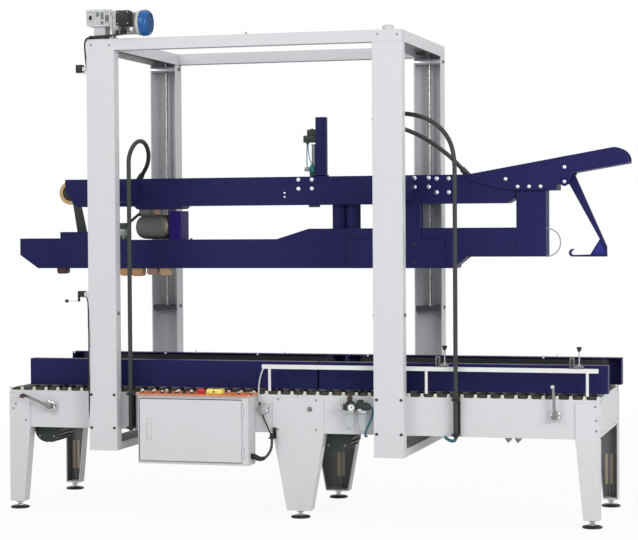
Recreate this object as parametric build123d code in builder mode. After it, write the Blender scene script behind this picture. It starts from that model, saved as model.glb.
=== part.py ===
from build123d import *
from math import cos, radians, sin, tan, pi
import os

os.makedirs("parts", exist_ok=True)

# Carton sealer, in millimetres. +X is the end where cartons enter, +Y is the
# rear, +Z is up. The dimensions here count from the floor below the middle of
# the gantry, and each piece is saved with its origin under the front middle foot.

# Conveyor bed
bed_left = -1258
bed_right = 1718
bed_front = -428
bed_width = 772
bed_low = 415
module_joint = 258
sheet = 5
joint_gap = 2
tooth_top = 617
slot_depth = 17
slot_width = 50
roller_radius = 25
roller_shaft_radius = 6
roller_top = 617
roller_count = 46
first_roller = 36
roller_end_gap = 3
flange_width = 30
end_plate_drop = 8

# Legs and feet
leg_top = 585
leg_bottom = 38
leg_flange = 60
end_leg_top_width = 112
end_leg_foot_width = 76
middle_leg_top_width = 258
middle_leg_foot_width = 120
middle_leg_at = 262
foot_radius = 48
foot_height = 14
spindle_radius = 9
foot_plate = 8

# Gantry
gantry_width = 1600
gantry_depth = 985
column_width = 146
front_column_depth = 64
rear_column_depth = 90
column_bottom = 313
column_top = 2290
beam_height = 57
long_beam_width = 64
base_channel_height = 38
wall = 6
screw_radius = 10
screw_bottom = 976
screw_block_height = 26
upper_block_at = 2250
running_gap = 0.3
chain_width = 10
chain_height = 14
chain_at = 2306
sprocket_radius = 20
chain_thickness = 4

# Lift drive on the front left corner
gearbox_length = 130
gearbox_height = 84
pedestal_height = 60
gearbox_depth = 90
pedestal_length = 58
pedestal_depth = 70
motor_radius = 55
motor_length = 120
cowl_radius = 64
cowl_length = 70
motor_axis_rise = 15
cover_radius = 36
cover_height = 24

# Limit switches on the front left column
switch_height = 31
switch_drop = 100
switch_rise = 96

# Tape head: two long beams joined by posts
head_centre = -42
head_thickness = 120
upper_top = 1666
upper_bottom = 1524
lower_bottom = 1207
lower_top_left = 1353
lower_top_right = 1405
cheek = 12
arm_width = 90
arm_bottom = 1545
arm_height = 110
screw_clearance = 0.5
travel_down = 400
travel_up = 590
press_roller_radius = 33
press_roller_length = 104
side_gap = 8
post_radius = 37
post_spacing = 70

# Side belts that push the carton
board_pitch = 536
board_thickness = 70
board_bottom = 622
board_top = 755
board_left = -1180
board_right = 1748
board_gap_at = 340
board_gap = 10
board_wall = 4
belt_thickness = 5
belt_edge_gap = 10
belt_reach = 9
pulley_radius = 22
pulley_inset = 90
width_rod_radius = 10
width_rod_at = 546
carrier_thickness = 4
carrier_width = 60
carrier_depth = 92

# Hoses to the head
hose_radius = 11
hose_y = -458
hose_foot = 600
hose_inset = 60
hose_outset = 245
clamp_half = 17
conduit_radius = 7
conduit_at = 137
conduit_y = -461

# Air unit, measured from the front right column's inner side
air_gap = 24
air_at = 548

# Cranks that set the belts' width
crank_radius = 140
crank_height = 524
crank_front = -470
left_crank_at = -1028
right_crank_at = 1514
left_crank_turn = 158
right_crank_turn = 92
crank_bar = 14
knob_radius = 11
knob_length = 48

# Control box with its door and panel
box_clearance = 56
box_right = 44
box_bottom = 262
box_top = 600
box_front = -548
box_wall = 2
door_margin = 13
door_right = 12
door_bottom = 279
door_top = 579
door_thickness = 12
hinge_radius = 4
hinge_height = 40

# Guard rail on the entry side
rail_left = 78
rail_right = 1713
rail_at = 735
rail_size = 20
rail_depth = 17
rail_post_radius = 7
rail_post_y = -425.5
rail_y = -419.5

# Points shared by several pieces
bed_back = bed_front + bed_width
bed_centre = bed_front + bed_width / 2
roller_axis = roller_top - roller_radius
roller_pitch = (bed_right - bed_left - 2 * first_roller) / (roller_count - 1)
half_gantry = gantry_width / 2
gantry_front = -gantry_depth / 2
gantry_back = gantry_depth / 2
column_middle = half_gantry - column_width / 2
front_screw_y = gantry_front + front_column_depth / 2
rear_screw_y = gantry_back - rear_column_depth / 2
gantry_top = column_top + beam_height
head_front = head_centre - head_thickness / 2
head_back = head_centre + head_thickness / 2
inner_half = half_gantry - column_width
gearbox_bottom = gantry_top + pedestal_height
motor_axis = gearbox_bottom + motor_axis_rise
hose_left_at = hose_inset - inner_half
hose_right_at = half_gantry + hose_outset
box_left = hose_left_at + clamp_half + box_clearance
door_left = box_left + door_margin
front_board_y = bed_centre - board_pitch / 2
rear_board_y = bed_centre + board_pitch / 2


def block(x, y, z, mode=Mode.ADD):
    # A box between two limits on each axis
    with BuildSketch(Plane.XY.offset(z[0])) as outline:
        with Locations(((x[0] + x[1]) / 2, (y[0] + y[1]) / 2)):
            Rectangle(x[1] - x[0], y[1] - y[0])
    extrude(outline.sketch, amount=z[1] - z[0], mode=mode)


def side_profile(points, y, mode=Mode.ADD):
    # An outline in X and Z, pulled along Y
    with BuildSketch(Plane((0, y[1], 0), x_dir=(1, 0, 0), z_dir=(0, -1, 0))) as outline:
        with BuildLine():
            Polyline(*points, close=True)
        make_face()
    extrude(outline.sketch, amount=y[1] - y[0], mode=mode)


def end_profile(points, x, mode=Mode.ADD):
    # An outline in Y and Z, pulled along X
    with BuildSketch(Plane.YZ.offset(x[0])) as outline:
        with BuildLine():
            Polyline(*points, close=True)
        make_face()
    extrude(outline.sketch, amount=x[1] - x[0], mode=mode)


def round_z(x, y, z, radius, mode=Mode.ADD):
    # A round bar along Z
    with BuildSketch(Plane.XY.offset(z[0])) as outline:
        with Locations((x, y)):
            Circle(radius)
    extrude(outline.sketch, amount=z[1] - z[0], mode=mode)


def round_y(x, y, z, radius, mode=Mode.ADD):
    # A round bar along Y
    with BuildSketch(Plane((0, y[1], 0), x_dir=(1, 0, 0), z_dir=(0, -1, 0))) as outline:
        with Locations((x, z)):
            Circle(radius)
    extrude(outline.sketch, amount=y[1] - y[0], mode=mode)


def round_x(x, y, z, radius, mode=Mode.ADD):
    # A round bar along X
    with BuildSketch(Plane.YZ.offset(x[0])) as outline:
        with Locations((y, z)):
            Circle(radius)
    extrude(outline.sketch, amount=x[1] - x[0], mode=mode)


def save(name, part):
    placed = part.moved(Location((-middle_leg_at, -bed_front - leg_flange / 2, 0)))
    placed.label = name
    export_step(placed, f"parts/{name}.step")
    print(name, round(part.volume / 1e6, 3), "litres")


# Bed: four side plates, with a round-cornered slot over the end of each roller
roller_places = [bed_left + first_roller + i * roller_pitch for i in range(roller_count)]
modules = [(bed_left, module_joint - joint_gap / 2), (module_joint + joint_gap / 2, bed_right)]
with BuildPart() as bed_side_plates:
    for left, right in modules:
        block((left, right), (bed_front, bed_front + sheet), (bed_low, tooth_top))
        block((left, right), (bed_front + sheet, bed_front + flange_width), (bed_low, bed_low + sheet))
        block((left, right), (bed_back - sheet, bed_back), (bed_low, tooth_top))
        block((left, right), (bed_back - flange_width, bed_back - sheet), (bed_low, bed_low + sheet))
    with BuildSketch(Plane((0, bed_back + 1, 0), x_dir=(1, 0, 0), z_dir=(0, -1, 0))):
        with Locations(*[(x, tooth_top) for x in roller_places]):
            RectangleRounded(slot_width, 2 * slot_depth, slot_depth / 2)
    extrude(amount=bed_width + 2, mode=Mode.SUBTRACT)
save("bed_side_plates", bed_side_plates.part)

plate_top = tooth_top - end_plate_drop
with BuildPart() as bed_end_plates:
    inside = (bed_front + sheet, bed_back - sheet)
    for outer, inner in ((bed_left, bed_left + sheet), (bed_right, bed_right - sheet)):
        block(sorted((outer, inner)), inside, (bed_low + sheet + 1, plate_top))
save("bed_end_plates", bed_end_plates.part)

with BuildPart() as bed_rollers:
    for x in roller_places:
        ends = (bed_front + sheet + roller_end_gap, bed_back - sheet - roller_end_gap)
        round_y(x, ends, roller_axis, roller_radius)
        round_y(x, (bed_front + sheet, bed_back - sheet), roller_axis, roller_shaft_radius)
save("bed_rollers", bed_rollers.part)


def leg(low, high, front):
    # A tapered front sheet with folded edges and a plate that takes the foot
    outer = bed_front if front else bed_back
    away = -1 if front else 1
    face = sorted((outer, outer + away * sheet))
    fold = sorted((outer, outer - away * leg_flange))
    left, right = low
    foot_left, foot_right = high
    side_profile([(left, bed_low), (left, leg_top), (right, leg_top), (right, bed_low),
                  (foot_right, leg_bottom), (foot_left, leg_bottom)], face)
    side_profile([(left, bed_low), (left + sheet, bed_low), (foot_left + sheet, leg_bottom),
                  (foot_left, leg_bottom)], fold)
    side_profile([(right - sheet, bed_low), (right, bed_low), (foot_right, leg_bottom),
                  (foot_right - sheet, leg_bottom)], fold)
    block((foot_left, foot_right), fold, (leg_bottom, leg_bottom + foot_plate))


leg_spans = [
    ((bed_left, bed_left + end_leg_top_width), (bed_left, bed_left + end_leg_foot_width)),
    ((middle_leg_at - middle_leg_top_width / 2, middle_leg_at + middle_leg_top_width / 2),
     (middle_leg_at - middle_leg_foot_width / 2, middle_leg_at + middle_leg_foot_width / 2)),
    ((bed_right - end_leg_top_width, bed_right), (bed_right - end_leg_foot_width, bed_right)),
]
with BuildPart() as legs:
    for low, high in leg_spans:
        for front in (True, False):
            leg(low, high, front)
save("legs", legs.part)

foot_places = []
for low, high in leg_spans:
    for y in (bed_front + leg_flange / 2, bed_back - leg_flange / 2):
        foot_places.append(((high[0] + high[1]) / 2, y))
with BuildPart() as levelling_feet:
    for x, y in foot_places:
        round_z(x, y, (0, foot_height), foot_radius)
        round_z(x, y, (foot_height, leg_bottom), spindle_radius)
save("levelling_feet", levelling_feet.part)


def column(side, front):
    # A folded channel that opens towards the bed
    x = side * column_middle
    depth = front_column_depth if front else rear_column_depth
    y = (gantry_front, gantry_front + depth) if front else (gantry_back - depth, gantry_back)
    span = (x - column_width / 2, x + column_width / 2)
    block(span, y, (column_bottom, column_top))
    hollow = (y[0] + wall, y[1] + 1) if front else (y[0] - 1, y[1] - wall)
    block((span[0] + wall, span[1] - wall), hollow, (column_bottom - 1, column_top + 1), Mode.SUBTRACT)


with BuildPart() as columns:
    for side in (-1, 1):
        for front in (True, False):
            column(side, front)
save("columns", columns.part)

# Channels below the bed from each front column to the rear one
channel_y = (gantry_front + front_column_depth, gantry_back - rear_column_depth)
channel_z = (column_bottom, column_bottom + base_channel_height)
with BuildPart() as base_channels:
    for side in (-1, 1):
        x = side * column_middle
        block((x - column_width / 2, x + column_width / 2), channel_y, channel_z)
        block((x - column_width / 2 + wall, x + column_width / 2 - wall), (channel_y[0] - 1, channel_y[1] + 1),
              (channel_z[0] - 1, channel_z[1] - wall), Mode.SUBTRACT)
save("base_channels", base_channels.part)

# Packing plates between the bed and the rear columns
with BuildPart() as column_packers:
    for side in (-1, 1):
        for z in (bed_low + 35, tooth_top - 60):
            x = side * column_middle
            block((x - column_width / 2, x + column_width / 2), (bed_back, gantry_back - rear_column_depth),
                  (z - 25, z + 25))
save("column_packers", column_packers.part)

# Top frame: channels that open downwards, with the lift chain inside
with BuildPart() as top_beams_cross:
    for side in (-1, 1):
        x = side * column_middle
        block((x - column_width / 2, x + column_width / 2), (gantry_front, gantry_back), (column_top, gantry_top))
        block((x - column_width / 2 + wall, x + column_width / 2 - wall),
              (gantry_front + wall, gantry_back - wall), (column_top - 1, gantry_top - wall), Mode.SUBTRACT)
        inner = x - side * column_width / 2
        for y in (gantry_front + long_beam_width / 2, gantry_back - long_beam_width / 2):
            block((inner - wall - 1, inner + wall + 1), (y - long_beam_width / 2 + wall, y + long_beam_width / 2 - wall),
                  (column_top - 1, gantry_top - wall), Mode.SUBTRACT)
save("top_beams_cross", top_beams_cross.part)

with BuildPart() as top_beams_long:
    for y in ((gantry_front, gantry_front + long_beam_width), (gantry_back - long_beam_width, gantry_back)):
        block((-inner_half, inner_half), y, (column_top, gantry_top))
        block((-inner_half - 1, inner_half + 1), (y[0] + wall, y[1] - wall), (column_top - 1, gantry_top - wall),
              Mode.SUBTRACT)
save("top_beams_long", top_beams_long.part)

screw_places = [(side * column_middle, y) for side in (-1, 1) for y in (front_screw_y, rear_screw_y)]
with BuildPart() as lift_screws:
    for x, y in screw_places:
        round_z(x, y, (screw_bottom, chain_at + chain_height), screw_radius)
        with BuildSketch(Plane.XY.offset(chain_at)):
            with Locations((x, y)):
                Circle(sprocket_radius)
        extrude(amount=chain_height)
save("lift_screws", lift_screws.part)


def bearing(x, y, z):
    # A block across the inside of a column, bored for the screw
    front = y < 0
    depth = front_column_depth if front else rear_column_depth
    inside = (gantry_front + wall, gantry_front + depth) if front else (gantry_back - depth, gantry_back - wall)
    half = column_width / 2 - wall
    block((x - half, x + half), inside, (z, z + screw_block_height))
    round_z(x, y, (z - 1, z + screw_block_height + 1), screw_radius + running_gap, Mode.SUBTRACT)


with BuildPart() as screw_blocks:
    for x, y in screw_places:
        bearing(x, y, screw_bottom - 4)
        bearing(x, y, upper_block_at)
save("screw_blocks", screw_blocks.part)

# One loop of chain round the four screws, inside the top frame
loop_reach = sprocket_radius + running_gap
chain_x = column_middle + loop_reach
chain_front = front_screw_y - loop_reach
chain_back = rear_screw_y + loop_reach
with BuildPart() as lift_chain:
    with BuildSketch(Plane.XY.offset(chain_at)):
        with Locations((0, (chain_front + chain_back) / 2)):
            RectangleRounded(2 * (chain_x + chain_thickness), chain_back - chain_front + 2 * chain_thickness,
                             loop_reach + chain_thickness)
            RectangleRounded(2 * chain_x, chain_back - chain_front, loop_reach, mode=Mode.SUBTRACT)
    extrude(amount=chain_height)
save("lift_chain", lift_chain.part)

# Worm gearbox on its pedestal, over the front left screw
drive_x = -column_middle
with BuildPart() as lift_gearbox:
    block((drive_x - gearbox_length / 2, drive_x + gearbox_length / 2),
          (front_screw_y - gearbox_depth / 2, front_screw_y + gearbox_depth / 2),
          (gearbox_bottom, gearbox_bottom + gearbox_height))
    fillet(lift_gearbox.edges().filter_by(Axis.Y), radius=16)
    block((drive_x - pedestal_length / 2, drive_x + pedestal_length / 2),
          (front_screw_y - pedestal_depth / 2, front_screw_y + pedestal_depth / 2), (gantry_top, gearbox_bottom))
    block((drive_x - gearbox_length / 2, drive_x + gearbox_length / 2),
          (front_screw_y - gearbox_depth / 2 + 14, front_screw_y + gearbox_depth / 2), (gantry_top, gantry_top + 10))
    round_x((drive_x - gearbox_length / 2 - 8, drive_x - gearbox_length / 2), front_screw_y, motor_axis + 24, 22)
save("lift_gearbox", lift_gearbox.part)

motor_start = drive_x + gearbox_length / 2
motor_end = motor_start + motor_length
with BuildPart() as lift_motor:
    round_x((motor_start, motor_start + 12), front_screw_y, motor_axis, cowl_radius)
    round_x((motor_start + 12, motor_end), front_screw_y, motor_axis, motor_radius)
save("lift_motor", lift_motor.part)

with BuildPart() as motor_cowl:
    round_x((motor_end, motor_end + cowl_length), front_screw_y, motor_axis, cowl_radius)
    fillet(motor_cowl.faces().sort_by(Axis.X)[-1].edges(), radius=10)
save("motor_cowl", motor_cowl.part)

# Terminal box on the front of the motor, with the cable gland below
terminal_x = (motor_end - 74, motor_end - 4)
terminal_y = (front_screw_y - 96, front_screw_y - motor_radius + 8)
with BuildPart() as terminal_box:
    block(terminal_x, terminal_y, (motor_axis - 18, motor_axis + 54))
    round_x((terminal_x[0], motor_end), front_screw_y, motor_axis, motor_radius, Mode.SUBTRACT)
    round_z(terminal_x[0] + 30, terminal_y[0] + 20, (motor_axis - 46, motor_axis - 18), 9)
save("terminal_box", terminal_box.part)

# Domed cover over the front right screw, and small caps over the other two
with BuildPart() as screw_covers:
    with BuildSketch(Plane.XY.offset(gantry_top)):
        with Locations((column_middle, front_screw_y + 2)):
            Circle(cover_radius - 8)
    extrude(amount=cover_height)
    fillet(screw_covers.faces().sort_by(Axis.Z)[-1].edges(), radius=cover_height / 2)
    for side in (-1, 1):
        round_z(side * column_middle, rear_screw_y, (gantry_top, gantry_top + 8), screw_radius)
save("screw_covers", screw_covers.part)

# Limit switches on the outer side of the front left column
switch_x = (-half_gantry - 74, -half_gantry - 12)
switch_y = (front_screw_y - 20, front_screw_y + 20)
upper_switch_at = column_top - switch_drop
lower_switch_at = screw_bottom + switch_rise
lever_at = lower_switch_at - 20
with BuildPart() as limit_switches:
    for z in (upper_switch_at, lower_switch_at):
        block(switch_x, switch_y, (z, z + switch_height))
        block((-half_gantry - 30, -half_gantry), (switch_y[0] + 4, switch_y[1] - 4), (z - 10, z))
    round_x((switch_x[0] - 54, switch_x[0] + 14), front_screw_y, lever_at, 2.5)
    block((switch_x[0] + 6, switch_x[0] + 16), (front_screw_y - 5, front_screw_y + 5), (lever_at - 3, lower_switch_at))
    round_x((switch_x[0] - 62, switch_x[0] - 46), front_screw_y, lever_at, 8)
save("limit_switches", limit_switches.part)

# Control box: an open fronted shell on the bed's side
with BuildPart() as control_box:
    block((box_left, box_right), (box_front, bed_front - sheet), (box_bottom, box_top))
    block((box_left + box_wall, box_right - box_wall), (box_front + box_wall, bed_front - sheet - box_wall),
          (box_bottom + box_wall, box_top - box_wall), Mode.SUBTRACT)
    block((door_left + 10, door_right - 10), (box_front - 1, box_front + box_wall + 1),
          (door_bottom + 10, door_top - 10), Mode.SUBTRACT)
    block((box_left + 40, box_right - 40), (bed_front - sheet - 0.01, bed_front), (bed_low + 20, box_top - 20))
    hinge_x = door_right + hinge_radius + 1
    hinge_y = box_front - door_thickness / 2
    for z in (door_bottom + 30, door_top - 30 - hinge_height):
        round_z(hinge_x, hinge_y, (z, z + hinge_height / 2), hinge_radius)
        block((hinge_x, hinge_x + 12), (box_front - 3, box_front), (z, z + hinge_height / 2))
        block((hinge_x, hinge_x + 3), (hinge_y, box_front), (z, z + hinge_height / 2))
save("control_box", control_box.part)

with BuildPart() as control_box_door:
    block((door_left, door_right), (box_front - door_thickness, box_front - running_gap), (door_bottom, door_top))
    for z in (door_bottom + 30, door_top - 30 - hinge_height):
        low = z + hinge_height / 2 + running_gap
        round_z(hinge_x, hinge_y, (low, low + hinge_height / 2), hinge_radius)
        block((door_right - 1, hinge_x), (hinge_y - 1.5, hinge_y + 1.5), (low, low + hinge_height / 2))
save("control_box_door", control_box_door.part)

# Sloping strip of buttons on top of the box
panel_back = bed_front - sheet - 4
panel_outline = [(box_front - 16, box_top), (box_front - 16, box_top + 5), (panel_back, box_top + 26),
                 (panel_back, box_top)]
with BuildPart() as control_panel:
    end_profile(panel_outline, (box_left - 10, box_right + 16))
    for i in range(5):
        round_z(box_left + 112 + i * 38, -505, (box_top + 1, box_top + 26), 11)
    round_z(box_left + 319, -505, (box_top + 1, box_top + 30), 13)
save("control_panel", control_panel.part)

stop_x = box_left + 396
stop_y = -500
with BuildPart() as emergency_stop:
    block((stop_x - 29, stop_x + 29), (stop_y - 27, stop_y + 27), (box_top + 8, box_top + 40))
    end_profile(panel_outline, (stop_x - 30, stop_x + 30), Mode.SUBTRACT)
    round_z(stop_x, stop_y, (box_top + 40, box_top + 52), 12)
    round_z(stop_x, stop_y, (box_top + 52, box_top + 64), 20)
save("emergency_stop", emergency_stop.part)

# Guard rail, its posts standing on the bed's front plate
post_places = [116, 896, 1662]
with BuildPart() as guard_rail:
    block((rail_left, rail_right), (rail_y - rail_depth / 2, rail_y + rail_depth / 2),
          (rail_at - rail_size / 2, rail_at + rail_size / 2))
    for x in post_places:
        round_z(x, rail_post_y, (tooth_top, rail_at), rail_post_radius)
save("guard_rail", guard_rail.part)

# Two clamps on the rail, each with a knob on a rod
rail_top = rail_at + rail_size / 2
with BuildPart() as rail_clamps:
    for x in (955, 1594):
        block((x - 14, x + 12), (rail_y - 8, rail_y + 8), (rail_top, rail_top + 66))
        block((x + 12, x + 50), (rail_y - 8, rail_y + 8), (rail_top, rail_top + 14))
        round_z(x + 30, rail_y, (rail_top + 14, rail_top + 92), 4)
        round_z(x + 30, rail_y, (rail_top + 88, rail_top + 102), 12)
save("rail_clamps", rail_clamps.part)

# Air preparation unit on the bed's side, next to the front right column
air_y = bed_front - 40
air_right = inner_half - air_gap
air_left = air_right - 70
with BuildPart() as air_unit:
    block((air_left - 60, air_left), (air_y - 24, bed_front), (air_at - 26, air_at + 26))
    round_z(air_left - 30, air_y, (air_at + 26, air_at + 60), 16)
    round_z(air_left - 30, air_y, (air_at - 108, air_at - 26), 21)
    round_y(air_left - 18, (air_y - 34, air_y - 24), air_at - 3, 18)
    block((air_left, air_right), (air_y - 20, bed_front), (air_at - 43, air_at + 8))
    round_z(air_left + 38, air_y, (air_at - 124, air_at - 43), 19)
    round_x((air_left - 88, air_left - 60), air_y, air_at, 9)
save("air_unit", air_unit.part)

# Belt drive motors hanging inside the bed
with BuildPart() as drive_motors:
    for x, radius, z in ((-1084, 66, 400), (437, 70, 393)):
        round_y(x, (bed_front + leg_flange + 6, bed_front + 270), z, radius)
        block((x - 40, x + 40), (bed_front + leg_flange + 20, bed_front + 240), (z + 30, roller_axis - 68))
        block((x - 30, x + 30), (bed_front + sheet, bed_front + leg_flange + 30), (z + 60, z + 100))
save("drive_motors", drive_motors.part)

with BuildPart() as crank_hubs:
    for x in (left_crank_at, right_crank_at):
        round_y(x, (bed_front - 14, bed_front), crank_height, 22)
        round_y(x, (crank_front + 14, bed_front - 14), crank_height, 14)
        round_y(x, (bed_front - 15, bed_front + 1), crank_height, 8.5, Mode.SUBTRACT)
        round_y(x, (crank_front + 13, bed_front - 13), crank_height, 8.5, Mode.SUBTRACT)
save("crank_hubs", crank_hubs.part)


def crank(x, turn):
    # A flat bar with a shaft at one end and a turning grip at the other
    with BuildSketch(Plane((x, crank_front, crank_height), x_dir=(1, 0, 0), z_dir=(0, -1, 0))) as outline:
        with Locations(Location((0, 0, 0), (0, 0, turn))):
            with Locations((crank_radius / 2, 0)):
                SlotCenterToCenter(crank_radius, 2 * crank_bar)
    extrude(outline.sketch, amount=-8)
    end_x = x + crank_radius * cos(radians(turn))
    end_z = crank_height + crank_radius * sin(radians(turn))
    round_y(x, (crank_front + 8, bed_front - running_gap), crank_height, 8)
    round_y(x, (crank_front - 6, crank_front), crank_height, 16)
    round_y(end_x, (crank_front - knob_length, crank_front), end_z, knob_radius)


with BuildPart() as crank_left:
    crank(left_crank_at, left_crank_turn)
save("crank_left", crank_left.part)

with BuildPart() as crank_right:
    crank(right_crank_at, right_crank_turn)
save("crank_right", crank_right.part)

# Cross rods below the rollers that carry the side belts
rod_places = [bed_left + first_roller + (i + 0.5) * roller_pitch for i in (3, 20, 27, 41)]
with BuildPart() as width_rods:
    for x in rod_places:
        round_y(x, (bed_front + sheet, bed_back - sheet), width_rod_at, width_rod_radius)
save("width_rods", width_rods.part)

spans = {"left": (board_left, board_gap_at - board_gap / 2, rod_places[:2]),
         "right": (board_gap_at + board_gap / 2, board_right, rod_places[2:])}
for side, (left, right, rods) in spans.items():
    for row, centre, inward in (("front", front_board_y, 1), ("rear", rear_board_y, -1)):
        outer = centre - inward * board_thickness / 2
        inner = centre + inward * (board_thickness / 2 - belt_reach)
        belt_line = inner - inward * (pulley_radius + belt_thickness - belt_reach)
        pulleys = (left + pulley_inset, right - pulley_inset)
        with BuildPart() as board:
            block((left, right), sorted((outer, inner)), (board_bottom, board_top))
            hollow = sorted((outer + inward * board_wall, inner + inward))
            block((left + board_wall, right - board_wall), hollow,
                  (board_bottom + board_wall, board_top - board_wall), Mode.SUBTRACT)
            for x in pulleys:
                round_z(x, belt_line, (board_bottom + 1, board_top - 1), pulley_radius - 0.2)
            for x in rods:
                block((x - carrier_thickness / 2, x + carrier_thickness / 2),
                      (centre - carrier_width / 2, centre + carrier_width / 2 - belt_reach),
                      (board_bottom - carrier_depth, board_bottom + 1))
                round_y(x, (centre - carrier_width, centre + carrier_width), width_rod_at,
                        width_rod_radius + running_gap, Mode.SUBTRACT)
        save(f"board_{row}_{side}", board.part)

        with BuildPart() as belt:
            with BuildSketch(Plane.XY.offset(board_bottom + belt_edge_gap)):
                with Locations(((pulleys[0] + pulleys[1]) / 2, belt_line)):
                    SlotCenterToCenter(pulleys[1] - pulleys[0], 2 * (pulley_radius + belt_thickness))
                    SlotCenterToCenter(pulleys[1] - pulleys[0], 2 * pulley_radius, mode=Mode.SUBTRACT)
            extrude(amount=board_top - board_bottom - 2 * belt_edge_gap)
        save(f"belt_{row}_{side}", belt.part)

# Head: the upper beam, with pockets and steps seen from the front
head_y = (head_front, head_back)
upper_left = -1086
motor_seat = upper_bottom - 15
end_step = upper_bottom + 60
with BuildPart() as upper_beam:
    side_profile([(upper_left, upper_top), (upper_left, upper_top - 53), (-1036, upper_bottom + 11),
                  (-1020, upper_bottom), (-705, upper_bottom), (-690, motor_seat), (-455, motor_seat),
                  (-440, upper_bottom), (1231, upper_bottom), (1270, upper_bottom + 22), (1270, end_step),
                  (1475, end_step), (1475, upper_top - 26), (1449, upper_top)], head_y)
save("upper_beam", upper_beam.part)

lower_left = -1342
roller_row = [-756, -690, -610, -536]
left_roller = (-1099, 38, lower_bottom + 5)
nose_top = lower_top_left + 9
step_top = lower_top_left + 42
end_low = lower_bottom + 56
with BuildPart() as lower_beam:
    side_profile([(lower_left, nose_top), (lower_left, lower_bottom + 69), (-1242, lower_bottom),
                  (977, lower_bottom), (982, lower_bottom + 16), (1032, end_low), (1275, end_low),
                  (1275, lower_top_right), (226, lower_top_right), (56, lower_top_left),
                  (-971, lower_top_left), (-971, step_top), (-1116, step_top), (-1116, nose_top)], head_y)
    pocket_y = (head_centre - press_roller_length / 2 - 3, head_centre + press_roller_length / 2 + 3)
    block((roller_row[0] - press_roller_radius - 6, roller_row[-1] + press_roller_radius + 6), pocket_y,
          (lower_bottom - 1, lower_bottom + 34), Mode.SUBTRACT)
    block((left_roller[0] - left_roller[1] - 6, left_roller[0] + left_roller[1] + 6), pocket_y,
          (lower_bottom - 1, lower_bottom + 50), Mode.SUBTRACT)
save("lower_beam", lower_beam.part)

roller_ends = (head_centre - press_roller_length / 2, head_centre + press_roller_length / 2)
press_axis = lower_bottom - 7
with BuildPart() as press_rollers:
    for x in roller_row:
        round_y(x, roller_ends, press_axis, press_roller_radius - 1)
        round_y(x, pocket_y, press_axis + 12, 6)
    round_y(left_roller[0], roller_ends, left_roller[2], left_roller[1])
    round_y(left_roller[0], pocket_y, left_roller[2] + 10, 6)
save("press_rollers", press_rollers.part)

# Pairs of round posts that tie the beams, and the box at the entry end
with BuildPart() as beam_posts:
    for x in (373, 695):
        for place in (x, x + post_spacing):
            round_z(place, head_centre, (lower_top_right, upper_bottom), post_radius)
save("beam_posts", beam_posts.part)

end_box = (1275, 1420)
with BuildPart() as end_box_plate:
    block(end_box, (head_front + side_gap / 2, head_back - side_gap / 2), (end_low, end_step))
save("end_box_plate", end_box_plate.part)

# Arms from the head to the nuts on the screws
bracket_face = head_front - cheek
with BuildPart() as head_arms:
    for x, y in screw_places:
        if y < 0:
            start = bracket_face if x > 0 else head_front
            reach = (gantry_front + wall + 5, start)
        else:
            reach = (head_back, gantry_back - wall - 5)
        block((x - arm_width / 2, x + arm_width / 2), reach, (arm_bottom, arm_bottom + arm_height))
        round_z(x, y, (arm_bottom - 1, arm_bottom + arm_height + 1), screw_radius + screw_clearance, Mode.SUBTRACT)
save("head_arms", head_arms.part)

# Plate on the front of both beams behind the front right column
with BuildPart() as front_bracket:
    side_profile([(425, lower_bottom), (920, lower_bottom), (920, 1352), (802, 1352), (802, upper_top),
                  (660, upper_top), (660, 1352), (425, 1352)], (bracket_face, head_front))
save("front_bracket", front_bracket.part)

# Entry arm: two cheeks that slope up from the beam, with a skid between them
slope_start = (1039, upper_top)
slope_end = (1743, upper_top + 121)
bar_low = upper_top - 80
with BuildPart() as entry_arm:
    for y in ((head_front - cheek, head_front), (head_back, head_back + cheek)):
        with BuildSketch(Plane((0, y[1], 0), x_dir=(1, 0, 0), z_dir=(0, -1, 0))):
            with BuildLine():
                Polyline((1275, bar_low), (1475, bar_low), (1475, upper_top - 50), (1528, upper_top - 50),
                         (1556, upper_top + 2), (1819, upper_top + 45), (1819, upper_top + 65))
                ThreePointArc((1819, upper_top + 65), (1796, upper_top + 105), slope_end)
                Polyline(slope_end, slope_start, (1039, upper_top - 26), (1180, upper_top - 66), (1275, bar_low))
            make_face()
        extrude(amount=y[1] - y[0])
    side_profile([(1556, upper_top + 2), (1819, upper_top + 45), (1819, upper_top + 53), (1556, upper_top + 10)],
                 head_y)
    side_profile([(1480, upper_top + 77), slope_end, (slope_end[0], slope_end[1] - 8), (1480, upper_top + 69)],
                 head_y)
save("entry_arm", entry_arm.part)

# Flap arm: a bar hung between the cheeks, a gusset and a hooked skid at its foot
bar_y = (head_centre - 14, head_centre + 14)
skid_y = (head_centre - 26, head_centre + 26)
flap_foot = lower_bottom + 55
with BuildPart() as flap_arm:
    side_profile([(1505, upper_top + 56), (1538, upper_top + 56), (1552, upper_top - 2), (1708, flap_foot + 48),
                  (1708, flap_foot + 12), (1674, flap_foot + 85), (1528, upper_top - 53), (1490, upper_top - 53),
                  (1490, upper_top + 24)], bar_y)
    side_profile([(1674, flap_foot + 85), (1708, flap_foot + 38), (1708, flap_foot), (1622, flap_foot)], bar_y)
    side_profile([(1543, flap_foot), (1700, flap_foot), (1712, flap_foot + 12), (1543, flap_foot + 8)], skid_y)
    with BuildSketch(Plane((0, skid_y[1], 0), x_dir=(1, 0, 0), z_dir=(0, -1, 0))):
        with Locations((1545, flap_foot + 19)):
            Circle(19)
            Circle(11, mode=Mode.SUBTRACT)
        with Locations((1565, flap_foot + 19)):
            Rectangle(40, 60, mode=Mode.SUBTRACT)
    extrude(amount=skid_y[1] - skid_y[0])
    for z in (upper_top + 29, upper_top - 41):
        round_y(1513, (head_front, head_back), z, 9)
save("flap_arm", flap_arm.part)

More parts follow.
